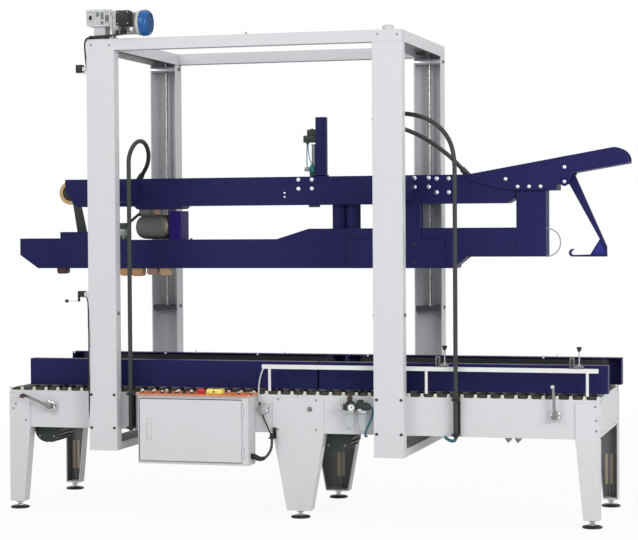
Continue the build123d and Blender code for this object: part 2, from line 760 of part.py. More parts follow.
with BuildPart() as wire_guard:
    with BuildLine(Plane((0, head_front + 20, 0), x_dir=(1, 0, 0), z_dir=(0, -1, 0))) as loop:
        ThreePointArc((end_box[1], end_low + 137), (1489, end_low + 68), (end_box[1], end_low + 1))
    with BuildSketch(Plane(loop.line @ 0, z_dir=loop.line % 0)):
        Circle(3)
    sweep()
    block((end_box[1] - 20, end_box[1]), (head_front - 20, head_front + 60), (end_low - 23, end_low + 157), Mode.SUBTRACT)
save("wire_guard", wire_guard.part)

# Tape drive between the beams
head_motor_axis = lower_top_left + 65
with BuildPart() as head_motor:
    round_x((-690, -545), head_centre, head_motor_axis, 62)
    fillet(head_motor.faces().sort_by(Axis.X)[0].edges(), radius=24)
    round_x((-545, -515), head_centre, head_motor_axis, 34)
    block((-640, -600), (head_centre - 30, head_centre + 30), (head_motor_axis + 55, motor_seat))
save("head_motor", head_motor.part)

with BuildPart() as head_gearbox:
    block((-515, -451), head_y, (lower_top_left, motor_seat - 10))
save("head_gearbox", head_gearbox.part)

# Tape roll on its arm behind the beams' left end
roll_x = -1108
roll_z = upper_top - 55
roll_y = (head_back + 14, head_back + 14 + 75)
with BuildPart() as tape_roll:
    round_y(roll_x, roll_y, roll_z, 69)
    round_y(roll_x, (roll_y[0] - 1, roll_y[1] + 1), roll_z, 45, Mode.SUBTRACT)
save("tape_roll", tape_roll.part)

with BuildPart() as tape_arm:
    side_profile([(-1136, roll_z + 11), (-1120, roll_z + 34), (-1096, roll_z + 34), (-1078, roll_z + 11),
                  (-1026, lower_top_left - 8), (-1080, lower_top_left - 8)], (head_back, head_back + 10))
    round_y(roll_x, (head_back + 10, roll_y[0]), roll_z, 30)
    round_y(roll_x, (roll_y[0], roll_y[1] + 6), roll_z, 44.8)
save("tape_arm", tape_arm.part)

# Post and small air cylinder on top of the head
post_face = 263
post_width = 63
post_height = 296
with BuildPart() as cylinder_post:
    block((post_face, post_face + post_width), (head_front + 4, head_front + 64), (upper_top, upper_top + post_height))
save("cylinder_post", cylinder_post.part)

with BuildPart() as air_cylinder:
    cylinder_y = head_front + 34
    wide = (cylinder_y - 18, cylinder_y + 18)
    narrow = (cylinder_y - 12, cylinder_y + 12)
    round_z(post_face - 14, cylinder_y, (upper_top + 24, upper_top + 170), 13)
    block((post_face - 67, post_face), wide, (upper_top + 168, upper_top + 208))
    block((post_face - 49, post_face), narrow, (upper_top + 208, upper_top + 236))
    block((post_face - 37, post_face), wide, (upper_top, upper_top + 46))
    block((post_face - 65, post_face - 37), narrow, (upper_top + 24, upper_top + 46))
save("air_cylinder", air_cylinder.part)


def hose(route, radius, name):
    # Straight runs with an arc at each corner, as large as its two runs allow
    points = [Vector(*p) for p in route]
    radii = []
    for before, at, after in zip(points, points[1:], points[2:]):
        turn = radians((at - before).get_angle(after - at))
        run = min((at - before).length, (after - at).length)
        radii.append(0.45 * run / tan(turn / 2))
    print(name, "corner radii", [round(r) for r in radii])
    with BuildPart() as tube:
        with BuildLine() as path:
            FilletPolyline(*points, radius=radii)
        with BuildSketch(Plane(path.line @ 0, z_dir=path.line % 0)):
            Circle(radius)
        sweep()
    length = path.wire().length
    print(name, "length", round(length), "volume share", round(tube.part.volume / (pi * radius**2 * length), 4))
    save(name, tube.part)


# Hoses from the bed up to the moving head, and the box's conduit
with BuildPart() as hose_clamps:
    for x in (hose_left_at, hose_right_at):
        block((x - clamp_half, x + clamp_half), (hose_y - clamp_half, bed_front), (hose_foot - 180, hose_foot - 168))
        block((x - clamp_half, x + clamp_half), (hose_y - clamp_half, bed_front), (hose_foot - 12, hose_foot))
        block((x - clamp_half, x + clamp_half), (bed_front - sheet, bed_front), (hose_foot - 168, hose_foot - 12))
        round_z(x, hose_y, (hose_foot - 181, hose_foot + 1), hose_radius + running_gap, Mode.SUBTRACT)
    block((conduit_at - 15, conduit_at + 15), (conduit_y - 11, bed_front - sheet), (388, 394))
    block((conduit_at - 3, conduit_at + 15), (bed_front - 2 * sheet, bed_front - sheet), (394, 440))
    round_z(conduit_at, conduit_y, (394, 416), 11)
    round_z(conduit_at, conduit_y, (387, 400), conduit_radius + running_gap, Mode.SUBTRACT)
save("hose_clamps", hose_clamps.part)

left_route = [(hose_left_at + x, y, z) for x, y, z in (
    (0, hose_y, 412), (0, hose_y, 1767), (11, -429, 1819), (20, -378, 1847), (27, -319, 1846),
    (26, -262, 1817), (12, -206, 1776), (-17, -152, 1734), (-54, -106, 1700), (-74, -84, 1684))]
hose(left_route, hose_radius, "hose_left")

right_route = [(hose_right_at + x, y, z) for x, y, z in (
    (0, hose_y, 412), (0, hose_y, 1700), (-7, -454, 1766), (-29, -444, 1825), (-70, -428, 1877),
    (-130, -406, 1920), (-207, -378, 1947), (-293, -358, 1958), (-379, -346, 1950), (-439, -292, 1938),
    (-441, -210, 1924), (-385, -153, 1910), (-301, -148, 1888), (-215, -141, 1847), (-141, -123, 1795),
    (-79, -98, 1740), (-41, -74, 1694))]
hose(right_route, hose_radius, "hose_right")

# Fittings where the hoses enter the head, cut level with the beam's top
with BuildPart() as hose_fittings:
    for route in (left_route, right_route):
        end = Vector(*route[-1])
        along = end - Vector(*route[-2])
        with BuildSketch(Plane(end, z_dir=along)) as ring:
            Circle(hose_radius + 4)
        extrude(ring.sketch, amount=80)
        block((end.X - 150, end.X + 150), (end.Y - 150, end.Y + 150), (upper_top - 150, upper_top), Mode.SUBTRACT)
save("hose_fittings", hose_fittings.part)

conduit_route = [(box_right, -498, 304), (60, -498, 304), (78, -495, 293), (99, -489, 292), (117, -482, 304),
                 (129, -472, 324), (136, -464, 346), (conduit_at, conduit_y, 370), (conduit_at, conduit_y, 396)]
hose(conduit_route, conduit_radius, "box_conduit")
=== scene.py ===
from math import atan2, cos, pi, radians, sin, tan, tau

import bmesh
import bpy
from mathutils import Matrix, Vector


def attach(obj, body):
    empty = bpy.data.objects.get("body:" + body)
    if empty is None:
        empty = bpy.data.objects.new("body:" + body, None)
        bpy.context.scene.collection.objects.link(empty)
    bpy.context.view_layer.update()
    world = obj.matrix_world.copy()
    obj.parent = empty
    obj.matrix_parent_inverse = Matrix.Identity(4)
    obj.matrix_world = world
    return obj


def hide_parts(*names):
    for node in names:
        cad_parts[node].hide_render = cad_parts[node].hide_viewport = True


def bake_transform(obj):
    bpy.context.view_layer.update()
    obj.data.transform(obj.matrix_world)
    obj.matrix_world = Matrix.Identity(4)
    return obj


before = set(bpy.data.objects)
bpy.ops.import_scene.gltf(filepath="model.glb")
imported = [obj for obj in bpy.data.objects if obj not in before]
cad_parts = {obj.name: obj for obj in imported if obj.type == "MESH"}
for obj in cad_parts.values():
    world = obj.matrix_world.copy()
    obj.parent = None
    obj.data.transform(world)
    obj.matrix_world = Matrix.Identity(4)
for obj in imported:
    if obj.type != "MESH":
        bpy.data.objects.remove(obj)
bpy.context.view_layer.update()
scene = bpy.context.scene
print("sealer frame loaded:", len(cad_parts), "nodes")


# places are in millimetres, counted from the floor below the gantry's middle
def at(x, y, z):
    return Vector(((x - 262) / 1000, (y + 398) / 1000, z / 1000))


def link(name, data):
    thing = bpy.data.objects.new(name, data)
    scene.collection.objects.link(thing)
    return thing


def meshFrom(bm, name, finish):
    mesh = bpy.data.meshes.new(name)
    bm.to_mesh(mesh)
    bm.free()
    mesh.materials.append(finish)
    return mesh


# camera, floor and light

photoView = {"place": (2872.1, -9377.7, 1420.5), "turn": 15.618, "dip": 1.323, "roll": -0.362, "lens": 108.7}

turn, dip, roll = (radians(photoView[key]) for key in ("turn", "dip", "roll"))
ahead = Vector((-sin(turn) * cos(dip), cos(turn) * cos(dip), -sin(dip)))
level = Vector((cos(turn), sin(turn), 0))
upward = level.cross(ahead)
sideways = level * cos(roll) + upward * sin(roll)
overhead = upward * cos(roll) - level * sin(roll)
cameraData = bpy.data.cameras.new("photoCamera")
cameraData.sensor_width = 36
cameraData.lens = photoView["lens"]
cameraData.clip_end = 200
camera = link("photoCamera", cameraData)
camera.matrix_world = (Matrix.Translation(at(*photoView["place"]))
                       @ Matrix((sideways, overhead, -ahead)).transposed().to_4x4())
scene.camera = camera
scene.view_settings.view_transform = "Standard"


# the shader nodes of a material or of the sky
class Nodes:
    def __init__(self, owner):
        owner.use_nodes = True
        self.owner, self.tree = owner, owner.node_tree
        self.tree.nodes.clear()

    # sockets go by name or by number
    def put(self, kind, sockets=None, **settings):
        node = self.tree.nodes.new("ShaderNode" + kind)
        for key, value in settings.items():
            setattr(node, key, value)
        for key, value in (sockets or {}).items():
            if isinstance(value, bpy.types.NodeSocket):
                self.tree.links.new(value, node.inputs[key])
            else:
                node.inputs[key].default_value = value
        return node

    def maths(self, operation, first, second):
        return self.put("Math", {0: first, 1: second}, operation=operation, use_clamp=True).outputs[0]

    def remap(self, value, low, high, toLow=0, toHigh=1):
        return self.put("MapRange", {0: value, 1: low, 2: high, 3: toLow, 4: toHigh}).outputs[0]

    def mix(self, share, first, second):
        return self.put("Mix", {0: share, 6: first, 7: second}, data_type="RGBA").outputs[2]

    def noise(self, scale, detail=3, rough=0.5, stretch=None):
        place = self.put("Mapping", {"Vector": self.place, "Scale": stretch}).outputs[0] if stretch else self.place
        return self.put("TexNoise", {"Vector": place, "Scale": scale, "Detail": detail, "Roughness": rough}).outputs[0]

    def wave(self, scale, distortion, **settings):
        return self.put("TexWave", {"Vector": self.place, "Scale": scale, "Distortion": distortion},
                        **settings).outputs[1]

    def height(self):
        return self.put("SeparateXYZ", {0: self.place}).outputs[2]

    # 1 for rays from the eye, from a shiny surface or through glass
    def seenRays(self):
        path = self.put("LightPath").outputs
        return self.maths("MAXIMUM", self.maths("MAXIMUM", path["Is Camera Ray"], path["Is Glossy Ray"]),
                          path["Is Transmission Ray"])

    # closes a material
    def surface(self, colour, rough, height, bumpDepth, shine=0.5, **sockets):
        bump = self.put("Bump", {"Height": height, "Distance": bumpDepth, "Strength": 0.6}).outputs[0]
        shader = self.put("BsdfPrincipled", {"Base Color": colour, "Roughness": rough, "Normal": bump,
                                             "Specular IOR Level": shine, **sockets})
        self.put("OutputMaterial", {"Surface": shader.outputs[0]})
        return self.owner


def newLook(name):
    look = Nodes(bpy.data.materials.new(name))
    look.place = look.put("TexCoord").outputs["Object"]
    return look


studio = {"sky": 0.53, "key": 208, "fill": 345, "over": 36, "floorWhite": 0.93, "fadeFrom": 2.2, "fadeTo": 7.0}
white = (1, 1, 1, 1)


def makeWorld():
    sky = Nodes(bpy.data.worlds.new("studioSky"))
    soft = sky.put("Background", {"Color": (0.97, 0.985, 1, 1), "Strength": studio["sky"]})
    plain = sky.put("Background", {"Color": white})
    mix = sky.put("MixShader", {0: sky.seenRays(), 1: soft.outputs[0], 2: plain.outputs[0]})
    sky.put("OutputWorld", {"Surface": mix.outputs[0]})
    scene.world = sky.owner


def makeFloor():
    look = newLook("paleFloor")
    look.place = look.put("NewGeometry").outputs["Position"]
    tone = look.remap(look.noise(3, 4), 0, 1, 0.84, 0.87)
    tint = look.put("CombineColor", {0: tone, 1: tone, 2: tone})
    matt = look.put("BsdfPrincipled", {"Base Color": tint.outputs[0], "Roughness": 0.6})
    distance = look.put("VectorMath", {0: look.place}, operation="LENGTH").outputs["Value"]
    fade = look.put("MapRange", {0: distance, 1: studio["fadeFrom"], 2: studio["fadeTo"], 3: studio["floorWhite"]},
                    interpolation_type="SMOOTHSTEP")
    glow = look.put("Emission", {"Color": white})
    share = look.maths("MULTIPLY", fade.outputs[0], look.seenRays())
    mix = look.put("MixShader", {0: share, 1: matt.outputs[0], 2: glow.outputs[0]})
    look.put("OutputMaterial", {"Surface": mix.outputs[0]})
    bm = bmesh.new()
    bmesh.ops.create_grid(bm, x_segments=8, y_segments=8, size=40)
    floor = link("paleFloor", meshFrom(bm, "paleFloor", look.owner))
    floor.location = (0, 0, -0.0005)


def addLamp(name, place, aim, size, power):
    data = bpy.data.lights.new(name, "AREA")
    data.shape = "DISK"
    data.size = size
    data.energy = power
    lamp = link(name, data)
    lamp.location = place
    lamp.rotation_mode = "QUATERNION"
    lamp.rotation_quaternion = (Vector(aim) - Vector(place)).to_track_quat("-Z", "Y")


makeWorld()
makeFloor()
addLamp("keyLamp", (-4.2, -6.6, 5.2), (0, 0.2, 1.1), 4.0, studio["key"])
addLamp("fillLamp", (6.4, -5.2, 3.4), (0.2, 0.2, 1.0), 4.5, studio["fill"])
addLamp("overLamp", (0, 1.2, 6.2), (0, 0.3, 1.2), 5.0, studio["over"])
print("camera and studio ready")


# finishes

def scaled(colour, share):
    return (*(min(1.0, part * share) for part in colour), 1)


# sprayed paint: soft mottling, orange peel, dust low down and bare or dark edges
def sprayedPaint(name, colour, rough=0.38, mottle=0.05, dust=0, edge=None, edgeSize=0.0016, peel=0.00012, shine=0.4):
    look = newLook(name)
    tint = look.mix(look.noise(2.6, 5), scaled(colour, 1 - mottle), scaled(colour, 1 + mottle))
    smear = look.noise(9, 4, 0.6, (1, 1, 0.25))
    if dust:
        low = look.remap(look.height(), 0, 0.55, dust, 0)
        patch = look.remap(smear, 0.35, 0.65, 0.2)
        tint = look.mix(look.maths("MULTIPLY", low, patch), tint, (0.36, 0.33, 0.28, 1))
    if edge:
        rounded = look.put("Bevel", {"Radius": edgeSize}, samples=4).outputs[0]
        flat = look.put("NewGeometry").outputs["Normal"]
        agree = look.put("VectorMath", {0: rounded, 1: flat}, operation="DOT_PRODUCT").outputs["Value"]
        broken = look.remap(look.noise(46, 5, 0.7), 0.46, 0.62)
        tint = look.mix(look.maths("MULTIPLY", look.remap(agree, 0.8, 0.985, 1, 0), broken), tint, (*edge, 1))
    return look.surface(tint, look.remap(smear, 0.3, 0.7, rough - 0.06, rough + 0.09), look.noise(520, 2), peel,
                        shine)


# grey lift nuts: the upper blocks pale, the lower ones dark, their dark tone painted shade of the columns' channels
# below a given height
def blockPaintAndShade(name, pale, dark, shadeHeight):
    look = newLook(name)
    mottled = look.noise(30, 5, 0.65)
    # below the given height the blocks take the dark tone: painted shade
    tint = look.mix(look.remap(look.height(), shadeHeight - 0.01, shadeHeight + 0.01), scaled(dark, 1), scaled(pale, 1))
    tint = look.mix(look.remap(mottled, 0.5, 0.8, 0, 0.5), tint, (0.08, 0.075, 0.07, 1))
    return look.surface(tint, look.remap(mottled, 0.3, 0.7, 0.35, 0.5), mottled, 0.0003, 0.3)


# turned, drawn or plated metal with streaks along one way
def workedMetal(name, colour, rough=0.3, stretch=(1, 1, 1), scale=60, stain=(0.25, 0.22, 0.18), stains=0.18,
                metallic=1):
    look = newLook(name)
    streak = look.noise(scale, 4, 0.6, stretch)
    tint = look.mix(look.remap(streak, 0.3, 0.7), scaled(colour, 0.86), scaled(colour, 1.08))
    tint = look.mix(look.remap(look.noise(11, 5, 0.65), 0.5, 0.75, 0, stains), tint, (*stain, 1))
    return look.surface(tint, look.remap(streak, 0.25, 0.75, rough - 0.07, rough + 0.12), streak, 0.00012,
                        Metallic=metallic)


# moulded plastic or rubber: fine grain, a little dust in the tone
def moulded(name, colour, rough=0.45, grain=380, depth=0.00012, mottle=0.06, scuff=None, sockets=None):
    look = newLook(name)
    tint = look.mix(look.noise(7, 4), scaled(colour, 1 - mottle), scaled(colour, 1 + mottle))
    if scuff:
        tint = look.mix(look.remap(look.noise(33, 6, 0.7), 0.55, 0.8, 0, 0.5), tint, (*scuff, 1))
    return look.surface(tint, look.remap(look.noise(24), 0.3, 0.7, rough - 0.05, rough + 0.08), look.noise(grain),
                        depth, 0.25 if max(colour) < 0.2 else 0.5, **(sockets or {}))


# a lift screw: light crests and dark roots, the dark of the roots painted shade of the grooves, with greasy patches on
# the steel, one turn every few millimetres
def screwThread(name, pitch):
    look = newLook(name)
    crest = look.remap(look.wave(0.31416 / pitch, 0, bands_direction="Z"), 0.3, 0.7)
    grease = look.remap(look.noise(6, 4), 0.4, 0.7, 0.1, 0.55)
    steel = look.mix(grease, (0.74, 0.75, 0.77, 1), (0.36, 0.34, 0.3, 1))
    # the dark between the crests is painted shade of the thread's grooves
    tint = look.mix(crest, (0.14, 0.13, 0.12, 1), steel)
    return look.surface(tint, look.remap(crest, 0, 1, 0.5, 0.24), crest, 0.0012, Metallic=1)


# conveyor belting: two sets of fine threads under rubber
def beltRubber(name):
    look = newLook(name)
    weave = look.maths("MULTIPLY", look.wave(130, 0.4, bands_direction="X"), look.wave(110, 0.4, bands_direction="Z"))
    worn = look.remap(look.noise(5, 5, 0.6, (0.3, 1, 2)), 0.4, 0.7)
    tint = look.mix(worn, (0.012, 0.012, 0.014, 1), (0.035, 0.034, 0.036, 1))
    return look.surface(tint, look.remap(worn, 0, 1, 0.5, 0.7), weave, 0.0004, 0.25)


# the side of a wound roll: thin rings that follow the turns
def woundTape(name, centre, pitch):
    look = newLook(name)
    look.place = look.put("Mapping", {"Vector": look.place, "Location": -at(*centre)}).outputs[0]
    rings = look.wave(0.31416 / pitch, 0.6, wave_type="RINGS", rings_direction="Y")
    tint = look.mix(rings, (0.52, 0.3, 0.11, 1), (0.74, 0.5, 0.24, 1))
    return look.surface(tint, look.remap(rings, 0, 1, 0.3, 0.45), rings, 0.0002, **{"Coat Weight": 0.3})


# each row: colour, then roughness and the rest, as the function above takes them
def finishes(kind, ending, rows):
    return {key: kind(key + ending, *row) for key, row in rows.items()}


paint = finishes(sprayedPaint, "Paint", {
    "grey": ((0.595, 0.602, 0.615), 0.42, 0.025, 0.14, (0.42, 0.42, 0.43), 0.0014),
    "navy": ((0.0185, 0.0175, 0.083), 0.42, 0.1, 0, (0.04, 0.042, 0.16), 0.0014, 0.00014, 0.06),
    "indigo": ((0.017, 0.011, 0.108), 0.42, 0.12, 0, (0.05, 0.045, 0.2), 0.0014, 0.00014, 0.06),
    "blue": ((0.026, 0.028, 0.2), 0.4, 0.1, 0, (0.08, 0.09, 0.3), 0.0014, 0.00014, 0.1),
    "orange": ((0.8, 0.25, 0.09), 0.36, 0.05, 0, (0.75, 0.45, 0.3)),
    "motorGreen": ((0.028, 0.036, 0.033), 0.45, 0.14, 0, (0.12, 0.13, 0.12), 0.002, 0.0003, 0.25),
    "tapeMotor": ((0.118, 0.126, 0.112), 0.45, 0.18, 0, (0.22, 0.23, 0.21), 0.002, 0.0003, 0.25),
    # the gearbox casting's recess colour: painted shade
    "pocket": ((0.17, 0.18, 0.18), 0.5, 0.2, 0, (0.25, 0.26, 0.26), 0.002, 0.0004, 0.25),
    "silver": ((0.56, 0.57, 0.575), 0.36, 0.06, 0, (0.3, 0.31, 0.31), 0.002, 0.0003),
    "cast": ((0.5, 0.51, 0.52), 0.5, 0.12, 0, (0.26, 0.27, 0.27), 0.0026, 0.0008),
    "white": ((0.7, 0.71, 0.7), 0.4, 0.03),
    # shade: dark grey, used as painted shade inside the rear legs and for the hooks below the bed plate
    "shade": ((0.16, 0.168, 0.17), 0.5, 0.35, 0, (0.24, 0.24, 0.24), 0.001, 0.0002, 0.3),
    "strip": ((0.46, 0.385, 0.28), 0.45, 0.25, 0, (0.55, 0.5, 0.4), 0.001, 0.0002, 0.3),
    "wire": ((0.3, 0.31, 0.33), 0.42, 0.1),
    "black": ((0.02, 0.02, 0.022), 0.42, 0.15, 0, (0.1, 0.1, 0.09), 0.0014, 0.00012, 0.2),
})
# the lower blocks' dark tone is painted shade
paint["blocks"] = blockPaintAndShade("nutBlocks", (0.3, 0.3, 0.315), (0.055, 0.058, 0.085), 1.4)
metal = finishes(workedMetal, "Metal", {
    "roller": ((0.04, 0.033, 0.028), 0.45, (60, 0.6, 60), 1.0, (0.2, 0.16, 0.09), 0.35, 0.35),
    "bright": ((0.46, 0.47, 0.48), 0.3, (1, 1, 8), 70),
    "dull": ((0.24, 0.245, 0.25), 0.42, (1, 1, 4), 90, (0.1, 0.09, 0.08), 0.35, 0.8),
    "bolt": ((0.035, 0.035, 0.04), 0.42, (1, 1, 1), 200, (0.12, 0.09, 0.07), 0.2, 0.5),
    "greyBolt": ((0.3, 0.3, 0.31), 0.4, (1, 1, 1), 200, (0.12, 0.1, 0.08), 0.3, 0.7),
    "plated": ((0.74, 0.74, 0.82), 0.32, (1, 1, 1), 160),
    "chain": ((0.15, 0.14, 0.13), 0.42, (1, 1, 1), 150, (0.05, 0.04, 0.03), 0.6),
    "bronze": ((0.16, 0.12, 0.095), 0.36, (1, 1, 1), 60, (0.45, 0.36, 0.28), 0.6, 0.6),
})
metal["thread"] = screwThread("liftThread", 0.006)
plastic = finishes(moulded, "Plastic", {
    "black": ((0.018, 0.018, 0.019), 0.44, 420, 0.00015, 0.15, (0.05, 0.05, 0.05)),
    "cowl": ((0.006, 0.09, 0.29), 0.28, 300, 0.0002, 0.2, (0.02, 0.17, 0.42), {"Specular IOR Level": 0.35}),
    "yellow": ((0.84, 0.74, 0.17), 0.34),
    "conduit": ((0.06, 0.052, 0.044), 0.5, 300, 0.0002, 0.25, (0.16, 0.13, 0.1)),
    "red": ((0.55, 0.025, 0.035), 0.3),
    "knob": ((0.085, 0.048, 0.045), 0.45, 200, 0.0002, 0.2, (0.2, 0.14, 0.13)),
    "white": ((0.7, 0.7, 0.68), 0.4, 240, 0.0001, 0.03, (0.6, 0.58, 0.54)),
    "pale": ((0.52, 0.53, 0.54), 0.42),
    "cream": ((0.66, 0.6, 0.44), 0.45, 240, 0.0001, 0.12, (0.45, 0.38, 0.25)),
    "teal": ((0.012, 0.12, 0.13), 0.34),
    "airBlue": ((0.1, 0.27, 0.42), 0.32, 300, 0.0001, 0.12),
    "airTeal": ((0.018, 0.11, 0.155), 0.32, 300, 0.0001, 0.2, (0.1, 0.32, 0.42)),
    "bowl": ((0.84, 0.87, 0.88), 0.08, 200, 0.00005, 0.02, None, {"Transmission Weight": 0.85, "IOR": 1.45}),
    "dial": ((0.8, 0.8, 0.79), 0.25, 300, 0.00003, 0.02),
    "hose": ((0.034, 0.038, 0.036), 0.5, 300, 0.0002, 0.2, (0.1, 0.1, 0.09)),
    "amber": ((0.36, 0.2, 0.085), 0.5, 160, 0.0003, 0.18, (0.5, 0.34, 0.18)),
    "rose": ((0.27, 0.155, 0.12), 0.5, 160, 0.0003, 0.15, (0.42, 0.33, 0.27)),
    "tan": ((0.38, 0.27, 0.15), 0.5, 160, 0.0003, 0.14, (0.52, 0.42, 0.3)),
    "maroon": ((0.07, 0.026, 0.024), 0.5, 160, 0.0003, 0.2, (0.16, 0.1, 0.08)),
    "card": ((0.42, 0.32, 0.21), 0.75, 120, 0.0004, 0.1),
})
plastic["belt"] = beltRubber("beltRubber")
print("finishes mixed:", len(paint) + len(metal) + len(plastic))


# the CAD nodes keep their shape and get their finish

sideBoards = " board_front_left board_rear_left board_front_right board_rear_right"
nodeFinish = (
    (paint["grey"], "bed_side_plates bed_end_plates legs columns base_channels column_packers top_beams_cross "
                    "top_beams_long control_box control_box_door"),
    (paint["navy"], "upper_beam lower_beam beam_posts end_box_plate head_arms front_bracket entry_arm flap_arm"
                    + sideBoards),
    (paint["silver"], "screw_covers"), (paint["cast"], "lift_gearbox"), (paint["blocks"], "screw_blocks"),
    (paint["motorGreen"], "drive_motors"), (paint["wire"], "wire_guard"), (paint["indigo"], "head_gearbox"),
    (metal["roller"], "bed_rollers"), (metal["thread"], "lift_screws"), (metal["dull"], "crank_hubs"),
    (metal["bright"], "width_rods"), (plastic["black"], "hose_clamps"), (plastic["white"], "guard_rail"),
    (plastic["hose"], "hose_fittings"),
    (plastic["belt"], "belt_front_left belt_rear_left belt_front_right belt_rear_right"),
)
# folded sheet and sawn bar: flat faces with their corners just broken, by so many millimetres
brokenCorners = {
    0.6: "control_box", 0.8: "bed_side_plates bed_end_plates",
    1.2: "base_channels column_packers front_bracket flap_arm",
    1.0: "legs screw_blocks" + sideBoards,
    1.5: "control_box_door head_arms entry_arm", 1.6: "columns top_beams_cross top_beams_long",
    2.0: "upper_beam lower_beam end_box_plate",
}
for finish, names in nodeFinish:
    for name in names.split():
        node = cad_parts[name]
        for slot in node.material_slots:
            slot.material = finish
        if not node.material_slots:
            node.data.materials.append(finish)
for width, names in brokenCorners.items():
    for name in names.split():
        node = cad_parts[name]
        normals = node.data.attributes.get("custom_normal")
        if normals:
            node.data.attributes.remove(normals)
        for face in node.data.polygons:
            face.use_smooth = False
        node.modifiers.new("weld", "WELD").merge_threshold = 0.00002
        broken = node.modifiers.new("brokenEdge", "BEVEL")
        broken.width = width / 1000
        broken.segments = 2
        broken.limit_method = "ANGLE"
        broken.angle_limit = radians(40)
print("node finishes set")


# shapes, drawn in millimetres and moved to their place by draw

front, back, up, down, left, right = (0, -1, 0), (0, 1, 0), (0, 0, 1), (0, 0, -1), (-1, 0, 0), (1, 0, 0)
columnFace, columnBack, bedFace, legFace, legBack = -492.5, 492.5, -428, -433, 349
frontScrew, rearScrew, headFace, headBack, cheekFace = -460.5, 447.5, -102, 18, -114


def settle(bm, name, finish, body):
    piece = link(name, meshFrom(bm, name, finish))
    for face in piece.data.polygons:
        face.use_smooth = True
    if body:
        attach(piece, body)
    return piece


# makes one piece from a list of shapes, each with its sizes
def draw(name, finish, shapes, body="frame", replaces=()):
    bm = bmesh.new()
    for shape, *sizes in shapes:
        shape(bm, *sizes)
    bmesh.ops.recalc_face_normals(bm, faces=bm.faces)
    for vertex in bm.verts:
        vertex.co = at(*vertex.co)
    piece = settle(bm, name, finish, body)
    piece.data.set_sharp_from_angle(angle=radians(38))
    if replaces:
        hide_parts(*replaces)


def soften(bm, edges, width, steps=2):
    bmesh.ops.bevel(bm, geom=list(edges), offset=width, segments=steps, profile=0.6, affect="EDGES",
                    clamp_overlap=True)


def box(bm, x, y, z, edge=1.5, steps=2):
    fresh = bmesh.ops.create_cube(bm, size=1)["verts"]
    low, high = Vector((min(x), min(y), min(z))), Vector((max(x), max(y), max(z)))
    for vertex in fresh:
        vertex.co = Vector(((low[i] + high[i]) / 2 + vertex.co[i] * (high[i] - low[i])) for i in range(3))
    if edge:
        soften(bm, {side for vertex in fresh for side in vertex.link_edges}, edge, steps)


# skins a row of rings; a ring of one point closes the shape
def skin(bm, rings):
    for one, two in zip(rings, rings[1:]):
        sides = max(len(one), len(two))
        for i in range(sides):
            j = (i + 1) % sides
            if len(one) == 1 and len(two) > 1:
                bm.faces.new((one[0], two[j], two[i]))
            elif len(two) == 1 and len(one) > 1:
                bm.faces.new((one[i], one[j], two[0]))
            elif len(one) > 1:
                bm.faces.new((one[i], one[j], two[j], two[i]))


# the directions round a circle, moved on by a share of a step
def circle(count, moved=0):
    return [(cos(tau * (i + moved) / count), sin(tau * (i + moved) / count)) for i in range(count)]


def ring(bm, centre, side, other, radius, sides, squeeze=1):
    return [bm.verts.new(centre + (side * c + other * s * squeeze) * radius) for c, s in circle(sides)]


# a turned shape: pairs of distance along the axis and radius
def turned(bm, start, axis, profile, sides=24, squeeze=1.0):
    axis = Vector(axis).normalized()
    side = axis.orthogonal().normalized()
    if abs(axis.z) < 0.5:
        side = axis.cross(Vector((0, 0, 1))).normalized()
    other = axis.cross(side)
    skin(bm, [ring(bm, Vector(start) + axis * along, side, other, radius, sides if radius > 0.01 else 1, squeeze)
              for along, radius in profile])


# the same with its far end closed
def capped(bm, start, axis, profile, sides=24, squeeze=1.0):
    turned(bm, start, axis, [*profile, (profile[-1][0], 0)], sides, squeeze)


def rod(bm, start, end, radius, edge=0.8):
    along = Vector(end) - Vector(start)
    length = along.length
    turned(bm, start, along, [(0, 0), (0, radius - edge), (edge, radius), (length - edge, radius),
                              (length, radius - edge), (length, 0)], 18)


# an outline in two directions, pulled along the third
def plate(bm, outline, span, edge=0.0, plane="xz"):
    def place(a, b, c):
        return {"xz": (a, c, b), "xy": (a, b, c), "yz": (c, a, b)}[plane]
    near = [bm.verts.new(place(a, b, span[0])) for a, b in outline]
    far = [bm.verts.new(place(a, b, span[1])) for a, b in outline]
    ends = [bm.faces.new(near), bm.faces.new(list(reversed(far)))]
    for i in range(len(outline)):
        j = (i + 1) % len(outline)
        bm.faces.new((near[j], near[i], far[i], far[j]))
    if edge:
        soften(bm, {side for face in ends for side in face.edges}, edge)


def dome(bm, place, axis, radius, height, sides=14):
    turned(bm, place, axis, [(share * height, wide * radius) for share, wide in (
        (0, 1), (0.35, 0.97), (0.75, 0.78), (1, 0.45), (1, 0.32), (0.55, 0.28), (0.55, 0))], sides)


def hexHead(bm, place, axis, radius, height):
    turned(bm, place, axis, [(0, 0), (0, radius * 1.35), (1.4, radius * 1.35), (1.4, radius)], 20)
    turned(bm, place, axis, [(1.4, radius), (height * 0.85, radius), (height, radius * 0.84), (height, 0)], 6)


# a hand nut with rounded lobes
def lobed(bm, place, axis, radius, height, lobes=5):
    axis = Vector(axis).normalized()
    side = axis.cross(Vector((0, 0, 1))).normalized()
    other = axis.cross(side)
    steps = lobes * 10
    rings = [[bm.verts.new(Vector(place) + axis * along * height + (side * cos(a) + other * sin(a))
                           * radius * share * (0.88 + 0.12 * cos(lobes * a)))
              for a in (tau * i / steps for i in range(steps))]
             for along, share in ((0, 0.72), (0.12, 0.92), (0.3, 1), (0.75, 1), (0.92, 0.9), (1, 0.7))]
    skin(bm, rings)
    bm.faces.new(list(reversed(rings[0])))
    bm.faces.new(rings[-1])
    rod(bm, Vector(place) + axis * height, Vector(place) + axis * (height + 5), radius * 0.3, 1)


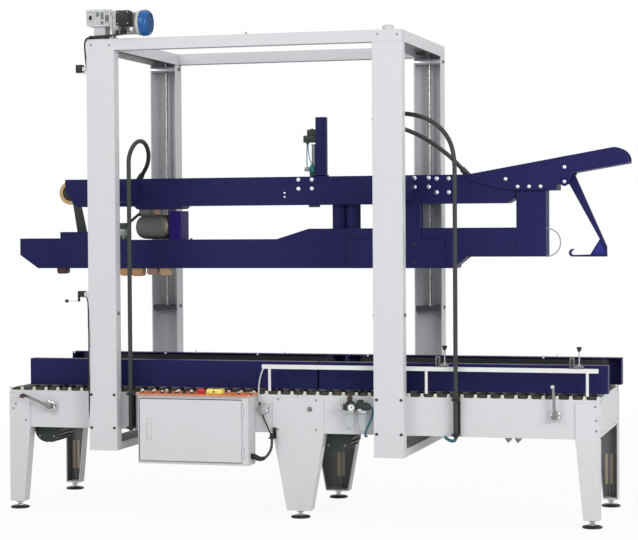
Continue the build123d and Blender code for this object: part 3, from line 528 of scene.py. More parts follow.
# thin plates that stand round a middle; each corner is a reach outwards and half a width
def fins(count, middle, corners, span, plane, below=2.0):
    shapes = []
    for out in map(Vector, circle(count)):
        wide = Vector((-out.y, out.x))
        if out.y < below:
            outline = [Vector(middle) + out * reach + wide * half for reach, half in corners]
            shapes.append((plate, [tuple(corner) for corner in outline], span, 0, plane))
    return shapes


# hoses: a smooth line through the route, then a ribbed tube round it

def smoothLine(name, route):
    curve = bpy.data.curves.new(name + "Line", "CURVE")
    curve.dimensions = "3D"
    spline = curve.splines.new("NURBS")
    spline.points.add(len(route) - 1)
    for point, place in zip(spline.points, route):
        point.co = (*at(*place), 1)
    spline.order_u = 3
    spline.use_endpoint_u = True
    spline.resolution_u = 14
    line = link(name + "Line", curve)
    bpy.context.view_layer.update()
    mesh = bpy.data.meshes.new_from_object(line.evaluated_get(bpy.context.evaluated_depsgraph_get()))
    points = [vertex.co.copy() for vertex in mesh.vertices]
    bpy.data.objects.remove(line)
    return points


# points at an even step along a line
def evenly(points, step):
    lengths = [(b - a).length for a, b in zip(points, points[1:])]
    total = sum(lengths)
    count = max(2, round(total / step))
    placed, index, before = [], 0, 0.0
    for i in range(count + 1):
        goal = total * i / count
        while index < len(lengths) - 1 and before + lengths[index] < goal:
            before += lengths[index]
            index += 1
        share = (goal - before) / max(lengths[index], 1e-9)
        placed.append(points[index].lerp(points[index + 1], min(1.0, share)))
    return placed


def tube(name, points, radii, sides, finish, body=None):
    bm = bmesh.new()
    rings = []
    side = (points[1] - points[0]).normalized().orthogonal().normalized()
    for i, place in enumerate(points):
        ahead = points[min(i + 1, len(points) - 1)] - points[max(i - 1, 0)]
        ahead.normalize()
        side = (side - ahead * side.dot(ahead)).normalized()
        other = ahead.cross(side)
        rings.append(ring(bm, place, side, other, radii[i], sides))
    skin(bm, rings)
    bm.faces.new(list(reversed(rings[0])))
    bm.faces.new(rings[-1])
    bmesh.ops.recalc_face_normals(bm, faces=bm.faces)
    return settle(bm, name, finish, body)


# a free hose or conduit on its own node's route
def layHose(name, node, sizes, finish, bends=None):
    route, radius = sizes["route"], sizes["radius"]
    line = smoothLine(name, route)
    rings = evenly(line, sizes["ribStep"])
    radii = [radius - (sizes["rib"] if i % 2 else 0) for i in range(len(rings))]
    piece = tube(name, rings, radii, 16, finish, None if bends else "frame")
    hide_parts(node)
    if bends:
        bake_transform(piece)
    return line


# a short fixed wire or tube, clipped down along its way
def wire(name, radius, finish, route, body="frame"):
    line = evenly(smoothLine(name, route), 0.006)
    tube(name, line, [radius / 1000] * len(line), 10, finish, body)


hose = {"radius": 0.011, "rib": 0.0006, "ribStep": 0.0045}
hoseBends = (600, 1690)
layHose("leftHose", "hose_left", {**hose, "length": 1.839, "route": [
    (-594, -458, 412), (-594, -458, 1706), (-594, -458, 1767), (-583, -429, 1819), (-574, -378, 1847),
    (-567, -319, 1846), (-568, -262, 1817), (-582, -206, 1776), (-611, -152, 1734), (-648, -106, 1700),
    (-668, -84, 1684)]}, plastic["hose"], hoseBends)
layHose("rightHose", "hose_right", {**hose, "length": 2.481, "route": [
    (1045, -458, 412), (1045, -458, 1634), (1045, -458, 1700), (1038, -454, 1766), (1016, -444, 1825),
    (975, -428, 1877), (915, -406, 1920), (838, -378, 1947), (752, -358, 1958), (666, -346, 1950),
    (606, -292, 1938), (604, -210, 1924), (660, -153, 1910), (744, -148, 1888), (830, -141, 1847),
    (904, -123, 1795), (966, -98, 1740), (1004, -74, 1694)]}, plastic["hose"], hoseBends)
line = layHose("boxConduit", "box_conduit", {
    "radius": 0.007, "rib": 0.0007, "ribStep": 0.0022, "length": 0.18, "route": [
        (44, -498, 304), (60, -498, 304), (78, -495, 293), (99, -489, 292), (117, -482, 304), (129, -472, 324),
        (136, -464, 346), (137, -461, 370), (137, -461, 396)]}, plastic["conduit"])
boot = {"radius": 0.0155, "rib": 0.0012, "narrows": 0.0066, "rings": 24}
tube("conduitBoot", evenly(line, 0.003)[:boot["rings"]],
     [boot["radius"] - (boot["rib"] if i % 2 else 0) - boot["narrows"] * (i / (boot["rings"] - 1)) ** 1.6
      for i in range(boot["rings"])], 18, plastic["black"], "frame")
print("hoses laid")


# fasteners on the frame

frameBolts = {"columnX": (668, 788), "columnZ": (589, 425), "radius": 7.5, "small": 5.6,
              "top": ((-774, 2319), (-678, 2316), (683, 2325), (778, 2322)),
              "leg": ((-1223, 529), (-1236, 508), (-1169, 449), (161, 578), (353, 576), (160, 431), (351, 433),
                      (1700, 570), (1705, 505), (1705, 456)),
              "endPlate": ((255, 591), (316, 513), (252, 452), (128, 440), (-390, 590), (-340, 445))}


# a domed head in front and a flush one behind
def through(x, z, radius, height):
    return [(dome, (x, columnFace, z), front, radius, height),
            (rod, (x, columnBack - 4.5, z), (x, columnBack + 0.4, z), radius, 0.3)]


black, grey, small = [], [], frameBolts["small"]
for side in (-1, 1):
    for x in frameBolts["columnX"]:
        for z in frameBolts["columnZ"]:
            black += through(side * x, z, frameBolts["radius"], 3.6)
    grey += [(dome, (side * 800, y, 2307), (side, 0, 0), small, 3) for y in (-470, 470)]
for x, z in frameBolts["top"]:
    grey += through(x, z, small, 3)
for x, z in frameBolts["leg"]:
    grey += [(dome, (x, legFace, z), front, small, 3.2), (dome, (x, legBack, z), back, small, 3.2)]
for y, z in frameBolts["endPlate"]:
    grey += [(dome, (1718, y, z), right, small, 3.2), (dome, (-1258, y, z), left, small, 3.2)]
draw("frameBolts", metal["bolt"], black)
draw("legBolts", metal["greyBolt"], grey)

# cream seats between the roller ends, along both side plates
rollerRow = {"first": -1222, "last": 1682, "count": 46, "jointAt": 258,
             "seat": ((-11, 602.5), (11, 602.5), (4.4, 608), (2.8, 617), (-2.8, 617), (-4.4, 608))}
rollerPitch = (rollerRow["last"] - rollerRow["first"]) / (rollerRow["count"] - 1)
gaps = [rollerRow["first"] + (i + 0.5) * rollerPitch for i in range(rollerRow["count"] - 1)]
draw("rollerSeats", plastic["cream"], [
    (plate, [(x + aside, z) for aside, z in rollerRow["seat"]], y, 0.6)
    for x in gaps if abs(x - rollerRow["jointAt"]) >= 8 for y in ((-429.6, -427), (343, 345.6))])

# dark sheets inside the rear legs, painted shade on their inner faces: the back, then both flanks
rearLegs = {"top": ((-1258, -1146), (133, 391), (1606, 1718)), "foot": ((-1258, -1182), (202, 322), (1642, 1718)),
            "faces": ((0, 6, 1, -6, (342.2, 343.7)), (0, 5.2, 0, 6.4, (285, 343)), (1, -6.4, 1, -5.2, (285, 343)))}
draw("legShadeSheets", paint["shade"], [
    (plate, [(foot[i] + a, 48), (foot[j] + b, 48), (top[j] + b, 412), (top[i] + a, 412)], y)
    for top, foot in zip(rearLegs["top"], rearLegs["foot"]) for i, a, j, b, y in rearLegs["faces"]])

# slotted strips inside the rear legs, with the foot's stem between them
draw("legStrips", paint["strip"], [
    (box, (x + a, x + b), (338.4, 342), (108, 262), 1) for x in (-1222, 270, 1668) for a, b in ((-22, -5), (5, 20))])
draw("legStems", metal["dull"], [
    (rod, (x, 337, 52), (x, 337, 236), 4.2) for x in (-1222, 270, 1668)])

# pins that hold the nut blocks, seen on the columns' sides, a bolt on the top beam and a nut on the middle leg
pins = [(hexHead, (side * face, y, z), (side * way, 0, 0), 8, 9)
        for side in (-1, 1) for y, heights in ((frontScrew, (992,)), (rearScrew, (992, 2266))) for z in heights
        for face, way in ((654, -1), (800, 1))]
draw("blockPins", metal["dull"], pins + [
    (capped, (20, frontScrew, 2347), up, [(0, 7), (3, 7), (4, 4), (13, 4), (14, 2.5)], 18),
    (hexHead, (320, legFace, 532), front, 9, 8)])
# flat bars across the rear columns' open fronts, below the top beams
columnBar = {"x": (655, 799), "y": (395.5, 402.3), "z": (2258, 2267)}
x, y, z = columnBar.values()
draw("columnBars", metal["plated"], [
    (box, (side * x[0], side * x[1]), y, z, 1) for side in (-1, 1)])
# two small hooks below the bed plate
draw("bedHooks", paint["shade"], [
    (plate, [(x - 18, 416), (x + 16, 416), (x + 12, 404), (x - 2, 391), (x - 8, 399)], (-427, -402), 1)
    for x in (1290, 1336)])

feet = [(x, y) for x in (-1220, 262, 1680) for y in (-398, 314)]
draw("footPads", plastic["black"], [
    (capped, (x, y, 0), up, [(0, 0), (0, 46), (2, 48), (7, 47.5), (10, 43), (12, 30), (14, 22)], 32)
    for x, y in feet], replaces=("levelling_feet",))
stems = []
for x, y in feet:
    stems += [(turned, (x, y, 14), up, [(0, 8.6), (24, 8.6)], 20), (hexHead, (x, y, 14), up, 14, 8),
              (hexHead, (x, y, 28), up, 14, 9.5)]
draw("footStems", metal["bright"], stems)

# lift chain: links round the four sprockets
chain = {"pitch": 12.7, "halfX": 749.3, "front": -482.8, "back": 469.8, "corner": 22.3, "low": 2306, "high": 2318.5}


def chainPath():
    r = chain["corner"]
    corners = [(chain["halfX"] - r, chain["front"] + r, -90), (chain["halfX"] - r, chain["back"] - r, 0),
               (r - chain["halfX"], chain["back"] - r, 90), (r - chain["halfX"], chain["front"] + r, 180)]
    points = [Vector((x + r * cos(radians(begin + step)), y + r * sin(radians(begin + step)), 0))
              for x, y, begin in corners for step in range(0, 91, 10)]
    return points + [points[0]]


links = []
centres = evenly(chainPath(), chain["pitch"])
for i, (here, there) in enumerate(zip(centres, centres[1:])):
    along = (there - here).normalized()
    across = Vector((-along.y, along.x, 0)) * 3.3
    outline = [here - along * 3 - across * 0.6, here - across, there - across, there + along * 3 - across * 0.6,
               there + along * 3 + across * 0.6, there + across, here + across, here - along * 3 + across * 0.6]
    inset = 0 if i % 2 else 1.8
    for z in (chain["low"] + inset, chain["high"] - inset):
        links.append((plate, [(p.x, p.y) for p in outline], (z, z + 1.5), 0, "xy"))
    links.append((capped, (here.x, here.y, chain["low"] + 2), up, [(0, 0), (0, 3.2), (10, 3.2)], 8))
draw("liftChain", metal["chain"], links, replaces=("lift_chain",))
print("frame hardware placed")


# lift drive over the front left column

drive = {"middle": (frontScrew, 2422), "flange": -662, "cowl": -515,
         "fin": ((45, -1.3), (55, -0.91), (55, 0.91), (45, 1.3))}
middle, flange, cowlStart, fin = drive.values()
draw("liftMotorBarrel", paint["silver"], [
    (capped, (flange, *middle), right, [
        (0, 0), (0, 59), (2.5, 61), (10, 61), (12, 59), (14, 57), (40, 57), (42, 54), (42, 46), (126, 46), (126, 58),
        (129, 60), (143, 60), (146, 58)], 48),
    *fins(30, middle, fin, (-618, -538), "yz")], replaces=("lift_motor",))
draw("motorCowl", plastic["cowl"], [
    (turned, (cowlStart, *middle), right, [
        (-1, 57), (-1, 62.5), (2, 64), (24, 64), (33, 61.5), (40, 56), (43, 49), (41, 47.5), (33, 47)], 56),
    *((turned, (cowlStart + 38, *middle), right, [(0, r), (0, r + 3.4), (3, r + 3.4), (3, r), (0, r)], 40)
      for r in (10, 22, 34, 45)),
    *fins(10, middle, ((11, -1.7), (50, -1.7), (50, 1.7), (11, 1.7)), (cowlStart + 37, cowlStart + 40), "yz")],
    replaces=("motor_cowl",))
draw("cowlFan", plastic["black"], [
    (capped, (cowlStart + 4, *middle), right, [(0, 0), (0, 46.5), (28, 46.5), (28, 14), (32, 12)], 40)])

wireBox = {"x": (-617, -548), "y": (-556.5, -507.5), "z": (2404, 2476), "lid": 9, "gland": (-586, -536.5)}
(x0, x1), (y0, y1), (z0, z1), lid, gland = wireBox.values()
draw("wireBox", paint["black"], [
    (box, (x0, x1), (y0 + lid + 1, y1 + 6), (z0, z1), 4),
    (box, (x0 - 1, x1 + 1), (y0, y0 + lid), (z0 - 1, z1 + 1), 3),
    (hexHead, (*gland, 2404), down, 14, 12),
    (capped, (*gland, 2393), down, [(0, 12), (12, 12), (18, 9), (22, 6)], 18)],
    replaces=("terminal_box",))
draw("wireBoxScrews", metal["bright"], [
    *((dome, (x, y0, z), front, 3.2, 1.6) for x in (x0 + 8, x1 - 8) for z in (z0 + 8, z1 - 8)),
    (hexHead, (-545, -522, 2388), front, 9, 14), (box, (-560, -538), (-524, -508), (2378, 2398), 2)])

# ribs, covers, recesses and foot of the gearbox casting; the recesses are dark patches of painted shade
gearbox = {"front": -505.5, "bore": (-768, 2450), "cover": (-727, -415.5, 2449), "ovalBore": 1.45,
           "ribs": ((-792, -662, 2479, 2490), (-750, -662, 2407, 2415), (-748, -741, 2415, 2479),
                    (-722, -716, 2415, 2479), (-699, -692, 2415, 2479), (-671, -662, 2415, 2479)),
           "pockets": ((-715, -700, 2442, 2474), (-691, -672, 2430, 2462), (-740, -724, 2456, 2476),
                       (-715, -702, 2417, 2432))}
face, (boreX, boreZ), cover, oval, ribs, pockets = gearbox.values()
draw("gearboxRibs", paint["silver"], [
    *((box, (x0, x1), (face - 5, face + 3), (z0, z1), 1.6) for x0, x1, z0, z1 in ribs),
    (turned, (boreX, face, boreZ), front, [(0, 15), (6, 14.5), (7.5, 13), (7.5, 9.5), (2, 9)], 36, oval),
    *((hexHead, (cover[0] + 30.5 * c, cover[1], cover[2] + 30.5 * s), back, 3, 4) for c, s in circle(6, 0.5)),
    (capped, cover, back, [(0, 36), (3, 36), (4, 34), (6, 30)], 36),
    *((capped, (x, face - 4, 2484), front, [(0, 0), (0, 5), (4, 4.6), (5, 3)], 16) for x in (-764, -737, -690))])
# dark patches standing on the casting's face: painted shade of its recesses
draw("gearboxPocketShades", paint["pocket"], [
    (box, (x0, x1), (face - 2.6, face + 2), (z0, z1), 1.2) for x0, x1, z0, z1 in pockets])
draw("gearboxFoot", paint["black"], [
    # black disc filling the bore: painted shade of the hole
    (capped, (boreX, face - 0.5, boreZ), front, [(0, 9.6), (3.5, 9.6)], 28, oval),
    (capped, (-799, frontScrew, 2446), left, [(0, 18), (2.5, 17), (2.5, 9), (-1, 8)], 24),
    *((hexHead, (x, y, 2357), up, 8, 9) for x in (-779, -675) for y in (-478, -428)),
    (box, (-783, -676), (-497, -486), (2347.3, 2355), 2),  # rubber strip
    *((dome, (x, -492, 2354.5), up, 6, 4) for x in (-776, -757, -738, -716, -697, -684)),
    *((box, (x, x + 12), (-520, -505), (2364, 2384), 2) for x in (-634, -610, -592))])

# limit switches beside the front left column
switches = {"places": ((2190, -5, 35), (1072, 0, 30)), "x": (-864, -830), "y": (-480.5, -440.5), "lever": 1052}
places, (x0, x1), (y0, y1), leverZ = switches.values()
bodies, brackets = [], []
for z, low, high in places:
    bodies += [(box, (x0, x1), (y0 + 3, y1), (z + low, z + high), 3),
               (box, (x0 + 2, x1 - 2), (y0, y0 + 2.4), (z + low + 2, z + high - 2), 1.2)]
    brackets += [(box, (x1 - 4, -800), (-476.5, -444.5), (z + low - 5, z + low), 1),
                 (box, (x1, -799), (-474.5, -446.5), (z + 3, z + 24), 1),
                 *((dome, (-818, -474.5, z + step), front, 3, 2) for step in (8, 20))]
brackets.append((rod, (-928, frontScrew, leverZ), (-860, frontScrew, leverZ), 2.6))
bodies += [(box, (-868, -858), (-465.5, -455.5), (1049, 1072), 1),
           (rod, (-936, frontScrew, leverZ), (-920, frontScrew, leverZ), 8, 2)]
draw("switchBodies", plastic["black"], bodies, replaces=("limit_switches",))
draw("switchBrackets", paint["white"], brackets)
print("lift drive dressed")


# cranks

cranks = {"z": 524, "front": -470, "reach": 140, "thick": 8, "left": (-1028, 158), "right": (1514, 92)}


def halfTurn(middle, along, across, radius, begin):
    return [middle + along * cos(begin + pi * i / 12) * radius
            + across * sin(begin + pi * i / 12) * radius for i in range(13)]


# a bar with a hub at one end and a pin for the grip at the other
def crankBar(bm, side):
    x, turn = cranks[side]
    y, z = cranks["front"], cranks["z"]
    along = Vector((cos(radians(turn)), sin(radians(turn))))
    across = Vector((-along.y, along.x))
    hub = Vector((x, z))
    end = hub + along * cranks["reach"]
    outline = halfTurn(hub, along, across, 12, pi / 2) + [hub + along * 26 - across * 5.5] \
        + halfTurn(end, along, across, 6, -pi / 2) + [hub + along * 26 + across * 5.5]
    plate(bm, [tuple(p) for p in outline], (y, y + cranks["thick"]), 1)
    capped(bm, (x, y, z), front, [(0, 15), (5, 14.5), (6, 13), (6, 6), (4, 5)], 28)
    rod(bm, (x, y + cranks["thick"], z), (x, bedFace - 0.3, z), 7.8)
    rod(bm, (end.x, y, end.y), (end.x, y - 12, end.y), 5)


def crankGrip(bm, side, y, profile):
    x, turn = cranks[side]
    reach = cranks["reach"]
    turned(bm, (x + reach * cos(radians(turn)), y, cranks["z"] + reach * sin(radians(turn))), front, profile)


draw("leftCrank", metal["dull"], [(crankBar, "left")], "left_crank", ("crank_left",))
draw("leftGrip", plastic["knob"], [
    (crankGrip, "left", -476, [(0, 0), (0, 8), (4, 11), (20, 12), (34, 11), (40, 7), (42, 0)])], "left_crank")
draw("rightCrank", metal["dull"], [(crankBar, "right")], "right_crank", ("crank_right",))
draw("rightGrip", plastic["pale"], [
    (crankGrip, "right", -478, [(0, 0), (0, 5), (3, 6), (6, 8), (12, 9.5), (18, 9), (23, 6), (25, 0)])],
    "right_crank")
# lobed hand nuts that lock the width, and the knob beside the box
draw("handNuts", metal["bright"], [
    (lobed, (-1028, -442.2, 524), front, 32, 12), (lobed, (1514, -442.2, 524), front, 28, 12),
    (lobed, (88, bedFace, 529), front, 30, 20)])


# guard rail clamps

railClamps = {"x": (955, 1594), "y": -419.5, "top": 745, "rod": 30}
blocks, rods, knobs, levers = [], [], [], []
y, z = railClamps["y"], railClamps["top"]
for x in railClamps["x"]:
    blocks += [*((box, (post, post + 6), (y - 8, y + 8), (z, z + 46), 1) for post in (x - 14, x + 2)),
               (box, (x - 14, x + 8), (y - 8, y + 8), (z + 44, z + 52), 2),
               (box, (x - 16, x + 42), (y - 9.5, y + 9.5), (z - 1, z + 5), 1.5),
               (box, (x - 10, x + 14), (y + 7.5, y + 10), (z - 20, z + 3), 1)]
    levers.append((plate, [(x + 8, z + 5), (x + 50, z + 5), (x + 50, z + 11), (x + 36, z + 14), (x + 8, z + 14)],
                   (y - 7, y + 7), 1.5))
    x += railClamps["rod"]
    rods += [(rod, (x, y, z), (x, y, z + 90), 3.2), (hexHead, (x, y, z + 14), up, 7, 7)]
    knobs.append((capped, (x, y, z + 80), up, [(0, 0), (0, 5.5), (3, 7), (15, 12), (20, 12), (22, 10)], 20))
draw("railBlocks", paint["tapeMotor"], blocks, replaces=("rail_clamps",))
draw("railRods", metal["bright"], rods)
draw("railKnobs", plastic["black"], knobs)
draw("railLevers", metal["dull"], levers)

# the elbow at the right hose's foot, the rail's wire, and the wires of the switches and the lift drive
wire("hoseElbow", 8, plastic["teal"], [
    (1045, -458, 416), (1044, -457, 406), (1036, -454, 397), (1018, -448, 397), (1000, -440, 404), (988, -430, 412)])
wire("railWireUpper", 3.6, plastic["pale"], [
    (86, -428, 727), (74, -431, 700), (64, -433, 650), (62, -434, 600), (66, -434.5, 560)])
wire("railWireLower", 3.6, plastic["black"], [
    (65.8, -434.5, 564), (72, -435, 525), (90, -437, 480), (112, -448, 440), (128, -457, 414)])
wire("switchWire", 3.4, plastic["black"], [
    (-820, -470, 1074), (-808, -482, 1058), (-801, -493, 1030), (-800, -495.6, 960), (-797, -496, 860),
    (-800, -496, 760), (-797, -496, 660), (-800, -495.6, 560), (-800, -488, 470)])
wire("driveWire", 4.3, plastic["black"], [
    (-586, -536.5, 2374), (-590, -535, 2366), (-612, -528, 2362), (-660, -508, 2362), (-700, -502, 2360),
    (-752, -502, 2359), (-782, -500, 2356), (-802, -496, 2346), (-809, -490, 2318), (-808, -486, 2280),
    (-806, -482, 2240), (-806, -474, 2210)])
print("cranks and rail dressed")


# control box: panel, buttons, stop button and door handle

panel = {"x": (-531, 60), "y": (-564, -437), "low": 600, "lipTop": 602.6, "backTop": 609, "buttonY": -505}
(x0, x1), (y0, y1) = panel["x"], panel["y"]
slope = atan2(panel["backTop"] - panel["lipTop"], y1 - y0)
tilt = Vector((0, -sin(slope), cos(slope)))


def panelPoint(x, y):
    return Vector((x, y, panel["lipTop"] + (y - panel["y"][0]) * tan(slope)))


draw("panelTop", paint["orange"], [
    (plate, [(y0, panel["low"]), (y0, panel["lipTop"]), (y1, panel["backTop"]), (y1, panel["low"])], panel["x"], 1.5,
     "yz")], replaces=("control_panel",))
buttons = {"radius": 10, "smallShare": 0.7, "height": 13,
           "caps": ((-512, "white"), (-458, "white"), (-409, "white"), (-371, "black"), (-333, "white"),
                    (-295, "black"), (-257, "white"), (-16, "white"), (46, "cream"))}
rims, caps, high = [], {}, buttons["height"]
for x, tone in buttons["caps"]:
    r = buttons["radius"] * (buttons["smallShare"] if x < -450 or x > -30 else 1.0)
    place = panelPoint(x, panel["buttonY"])
    rims.append((turned, place, tilt, [(-1, r), (5, r), (7, r * 0.9), (7, r * 0.74), (4, r * 0.72)], 22))
    caps.setdefault(tone, []).append(
        (turned, place, tilt, [(0, r * 0.7), (high - 2, r * 0.7), (high - 0.5, r * 0.55), (high, 0)], 20))
draw("buttonRims", plastic["black"], rims)
for tone, shapes in caps.items():
    draw(tone + "Buttons", plastic[tone], shapes)
draw("panelScrews", metal["plated"], [
    (dome, panelPoint(x, y), tilt, 4, 2.2) for x in (x0 + 12, -160, x1 - 12) for y in (-552, -449)])

stop = {"x": (-176, -97), "y": (-527, -473), "z": (605, 629), "key": (-136.5, -500), "red": (-208, -505)}
draw("stopBase", plastic["yellow"], [(box, stop["x"], stop["y"], stop["z"], 6, 3)],
     replaces=("emergency_stop",))
draw("stopKey", plastic["knob"], [
    (turned, (*stop["key"], stop["z"][1] - 1), up, [(0, 16), (3, 16), (5, 13), (8, 12), (9, 8), (9, 0)], 28),
    (turned, (stop["key"][0], stop["y"][0], 617), front, [(-1, 5), (1.6, 5), (2.2, 4), (2.2, 0)], 18)])
draw("stopButton", plastic["red"], [
    (capped, panelPoint(*stop["red"]), tilt, [(-1, 15), (6, 15), (7, 13), (10, 13), (11, 19), (14, 21), (19, 20.5),
                                              (23, 16), (25, 8)], 32)])

handle = {"x": (-474, -446), "z": (378, 486), "front": -560}
(x0, x1), (z0, z1), y = handle.values()
draw("handlePlate", plastic["pale"], [(box, (x0, x1), (y - 1.6, y + 1), (z0, z1), 1)], "door")
draw("handleLever", paint["grey"], [
    (box, (x0 + 5, x1 - 5), (y - 3.4, y - 1), (z0 + 8, z1 - 34), 1.2),
    (capped, ((x0 + x1) / 2, y - 1, z1 - 17), front, [(0, 9), (2, 9), (2.4, 8)], 20)], "door")
gasket = {"x": (-511, 12), "y": (-553, -548.6), "z": (279, 579), "wide": 3.2}
(x0, x1), y, (z0, z1), wide = gasket.values()
draw("doorGasket", plastic["black"], [
    (box, x, y, z, 0.8) for x, z in (
        ((x0 - wide, x1), (z1, z1 + wide)), ((x0 - wide, x1), (z0 - wide, z0)), ((x0 - wide, x0), (z0, z1)))], "door")
print("control box dressed")


# air unit on the bed's side

air = {"y": -468, "left": 530, "right": 592, "gauge": (545, 550)}
y, bowlLeft, bowlRight, (gaugeX, gaugeZ) = air.values()
draw("airBody", paint["motorGreen"], [
    (box, (502, 562), (y - 24, y + 24), (536, 566), 3), (box, (510, 552), (y + 20, bedFace), (538, 562), 2),
    (box, (514, 548), (y - 18, y + 18), (566, 577), 3), (box, (562, 612), (y - 20, y + 20), (536, 573), 4),
    (box, (570, 596), (y - 14, y + 14), (573, 586), 3), (box, (572, 606), (y + 16, bedFace), (542, 566), 2),
    (capped, (611, y, 552), right, [(0, 0), (0, 15), (3, 17), (14, 17), (18, 13), (22, 11)], 24)],
    replaces=("air_unit",))
draw("airBowls", plastic["bowl"], [
    (capped, (bowlLeft, y, 524), down, [(0, 20), (62, 20), (70, 16), (76, 10), (80, 8)], 28),
    (capped, (bowlRight, y, 520), down, [(0, 18), (74, 18), (82, 14), (88, 9), (92, 7)], 28)])
draw("airCollars", plastic["pale"], [
    *((capped, (x, y, 536), down, [(0, r - 2), (1, r), (11, r), (13, r - 3)], 28)
      for x, r in ((bowlLeft, 23), (bowlRight, 21))),
    (capped, (584, y - 20, 538), front, [(0, 11), (4, 11), (5, 9)], 24, 0.6),
    (capped, (502, y, 545), left, [(0, 8), (4, 8), (4, 11), (12, 11), (14, 15), (24, 15), (26, 12)], 24)])
draw("airKnob", plastic["knob"], [(lobed, (531, y, 577), (0, 0.0001, 1), 14, 26, 14)])
draw("airFittings", metal["bright"], [
    (turned, (gaugeX, y - 24, gaugeZ), front, [(0, 17), (9, 18), (10, 17), (10, 15.5), (8.5, 15)], 32),
    (capped, (476, y, 545), left, [(0, 7), (4, 7), (5, 5)], 20)])
draw("gaugeFace", plastic["dial"], [
    (capped, (gaugeX, y - 32.4, gaugeZ), front, [(0, 15), (0.4, 15)], 32)])
marks = []
for i in range(11):
    angle = radians(225 - 27 * i)
    out = Vector((cos(angle), sin(angle)))
    across = Vector((-out.y, out.x)) * 0.45
    a, b = (Vector(air["gauge"]) + out * reach for reach in (11 if i % 5 else 9.5, 13.5))
    marks.append((plate, [tuple(p) for p in (a - across, b - across, b + across, a + across)], (y - 33.2, y - 32.8)))
draw("gaugeMarks", plastic["black"], marks + [
    (plate, [(543.6, 547), (546, 547), (551.5, 558.5), (549.5, 559.5)], (y - 33.8, y - 33.3)),
    (capped, (gaugeX, y - 32.8, gaugeZ), front, [(0, 2.8), (1.4, 2.4)], 16)])
wire("airTail", 5, plastic["airTeal"], [
    (627, -468, 552), (639, -469, 551), (646, -469, 536), (640, -468, 505), (624, -466, 470), (607, -462, 436),
    (601, -454, 412), (600, -436, 406), (600, -412, 406)])

# belt drive motors below the rollers, without fins on top: place along the bed, radius and height
beltMotors = {"places": ((-1084, 66, 400), (437, 70, 393)), "finReach": 7, "finHalf": 1.6, "finSpan": (-345, -170)}
places, reach, half, span = beltMotors.values()
motorBody, motorScrews = [], []
for x, r, z in places:
    fin = ((r - 2, -half), (r + reach, -half), (r + reach, half), (r - 2, half))
    motorBody += [(capped, (x, -362, z), front, [(-12, r + 3), (-2, r + 3), (0, r), (3, r - 6), (5, r - 24)], 40),
                  *fins(18, (x, z), fin, span, "xz", 0.3)]
    motorScrews += [(hexHead, (x + (r - 12) * c, -366, z + (r - 12) * s), front, 4.5, 5) for c, s in circle(4, 0.5)]
draw("motorFins", paint["motorGreen"], motorBody)
draw("motorScrews", metal["dull"], motorScrews)
print("air unit and motors dressed")


# head: bolts, tape drive, tape roll, rollers and air cylinder

headBolts = {"large": ((175, 1650), (245, 1650), (175, 1605), (245, 1605), (773, 1651), (842, 1651), (773, 1607),
                       (842, 1607), (882, 1647), (942, 1647), (882, 1580), (942, 1580)),
             "small": ((102, 1585), (102, 1565)),
             "cheek": ((1285, 1603), (1341, 1603), (1397, 1603), (1226, 1641), (1513, 1695), (1513, 1625))}
shapes = []
for x, z in headBolts["large"]:
    shapes += [(dome, (x, cheekFace if 660 < x < 802 else headFace, z), front, 11.5, 6, 18),
               (dome, (x, headBack, z), back, 11.5, 6, 18)]
shapes += [(dome, (x, headFace, z), front, 6, 3.5) for x, z in headBolts["small"]]
for x, z in headBolts["cheek"]:
    shapes += [(dome, (x, cheekFace, z), front, 10, 5, 16), (dome, (x, 30, z), back, 10, 5, 16)]
draw("headBolts", metal["plated"], shapes, "head")
draw("headScrews", metal["bolt"], [
    *((dome, (x, headFace, 1340), front, 5, 3) for x in (-560, -500, -60, 520, 860)),
    *((hexHead, (x, -60, 1353), up, 6, 7) for x in (-440, -410)),
    *((dome, (x, cheekFace, z), front, 7, 4) for x in (690, 770) for z in (1235, 1325)),
    (box, (225, 277), (-92, -58), (1512, 1525), 3)], "head")
# hinge boss with its clip, and the bright gusset at the flap arm's foot
draw("flapBoss", paint["indigo"], [
    (turned, (1513, cheekFace, 1625), front, [(0, 22), (4, 21), (5, 19), (5, 13), (3, 12)], 32)], "head")
draw("flapGusset", paint["blue"], [
    (plate, [(1636, 1270), (1676, 1338), (1702, 1272)], (-58.5, -25.5), 1)], "head")

tapeDrive = {"middle": (-42, 1418), "start": -712, "collar": -546, "boxTop": 1524}
draw("tapeMotor", paint["tapeMotor"], [
    (capped, (tapeDrive["start"], *tapeDrive["middle"]), right, [
        (0, 0), (0, 12), (3, 26), (9, 39), (18, 49), (30, 56), (46, 60.5), (64, 62), (122, 62), (123, 60.8),
        (127, 60.8), (128, 62), (166, 62), (168, 60)], 48),
    (box, (-690, -600), (-72, -12), (1473, 1509), 3)], "head", ("head_motor",))
draw("motorCollar", metal["bronze"], [
    (turned, (tapeDrive["collar"], *tapeDrive["middle"]), right, [
        (0, 61.5), (8, 61), (18, 57), (26, 50), (30, 44), (31, 0)], 44)], "head")
draw("relayBox", paint["tapeMotor"], [
    (box, (-676, -622), (-98, -60), (1484, tapeDrive["boxTop"]), 3),
    (box, (-619, -603), (-94, -62), (1488, tapeDrive["boxTop"]), 2)], "head")
draw("brownBlock", plastic["rose"], [
    (box, (-600, -570), (-96, -70), (1482, tapeDrive["boxTop"]), 2)], "head")

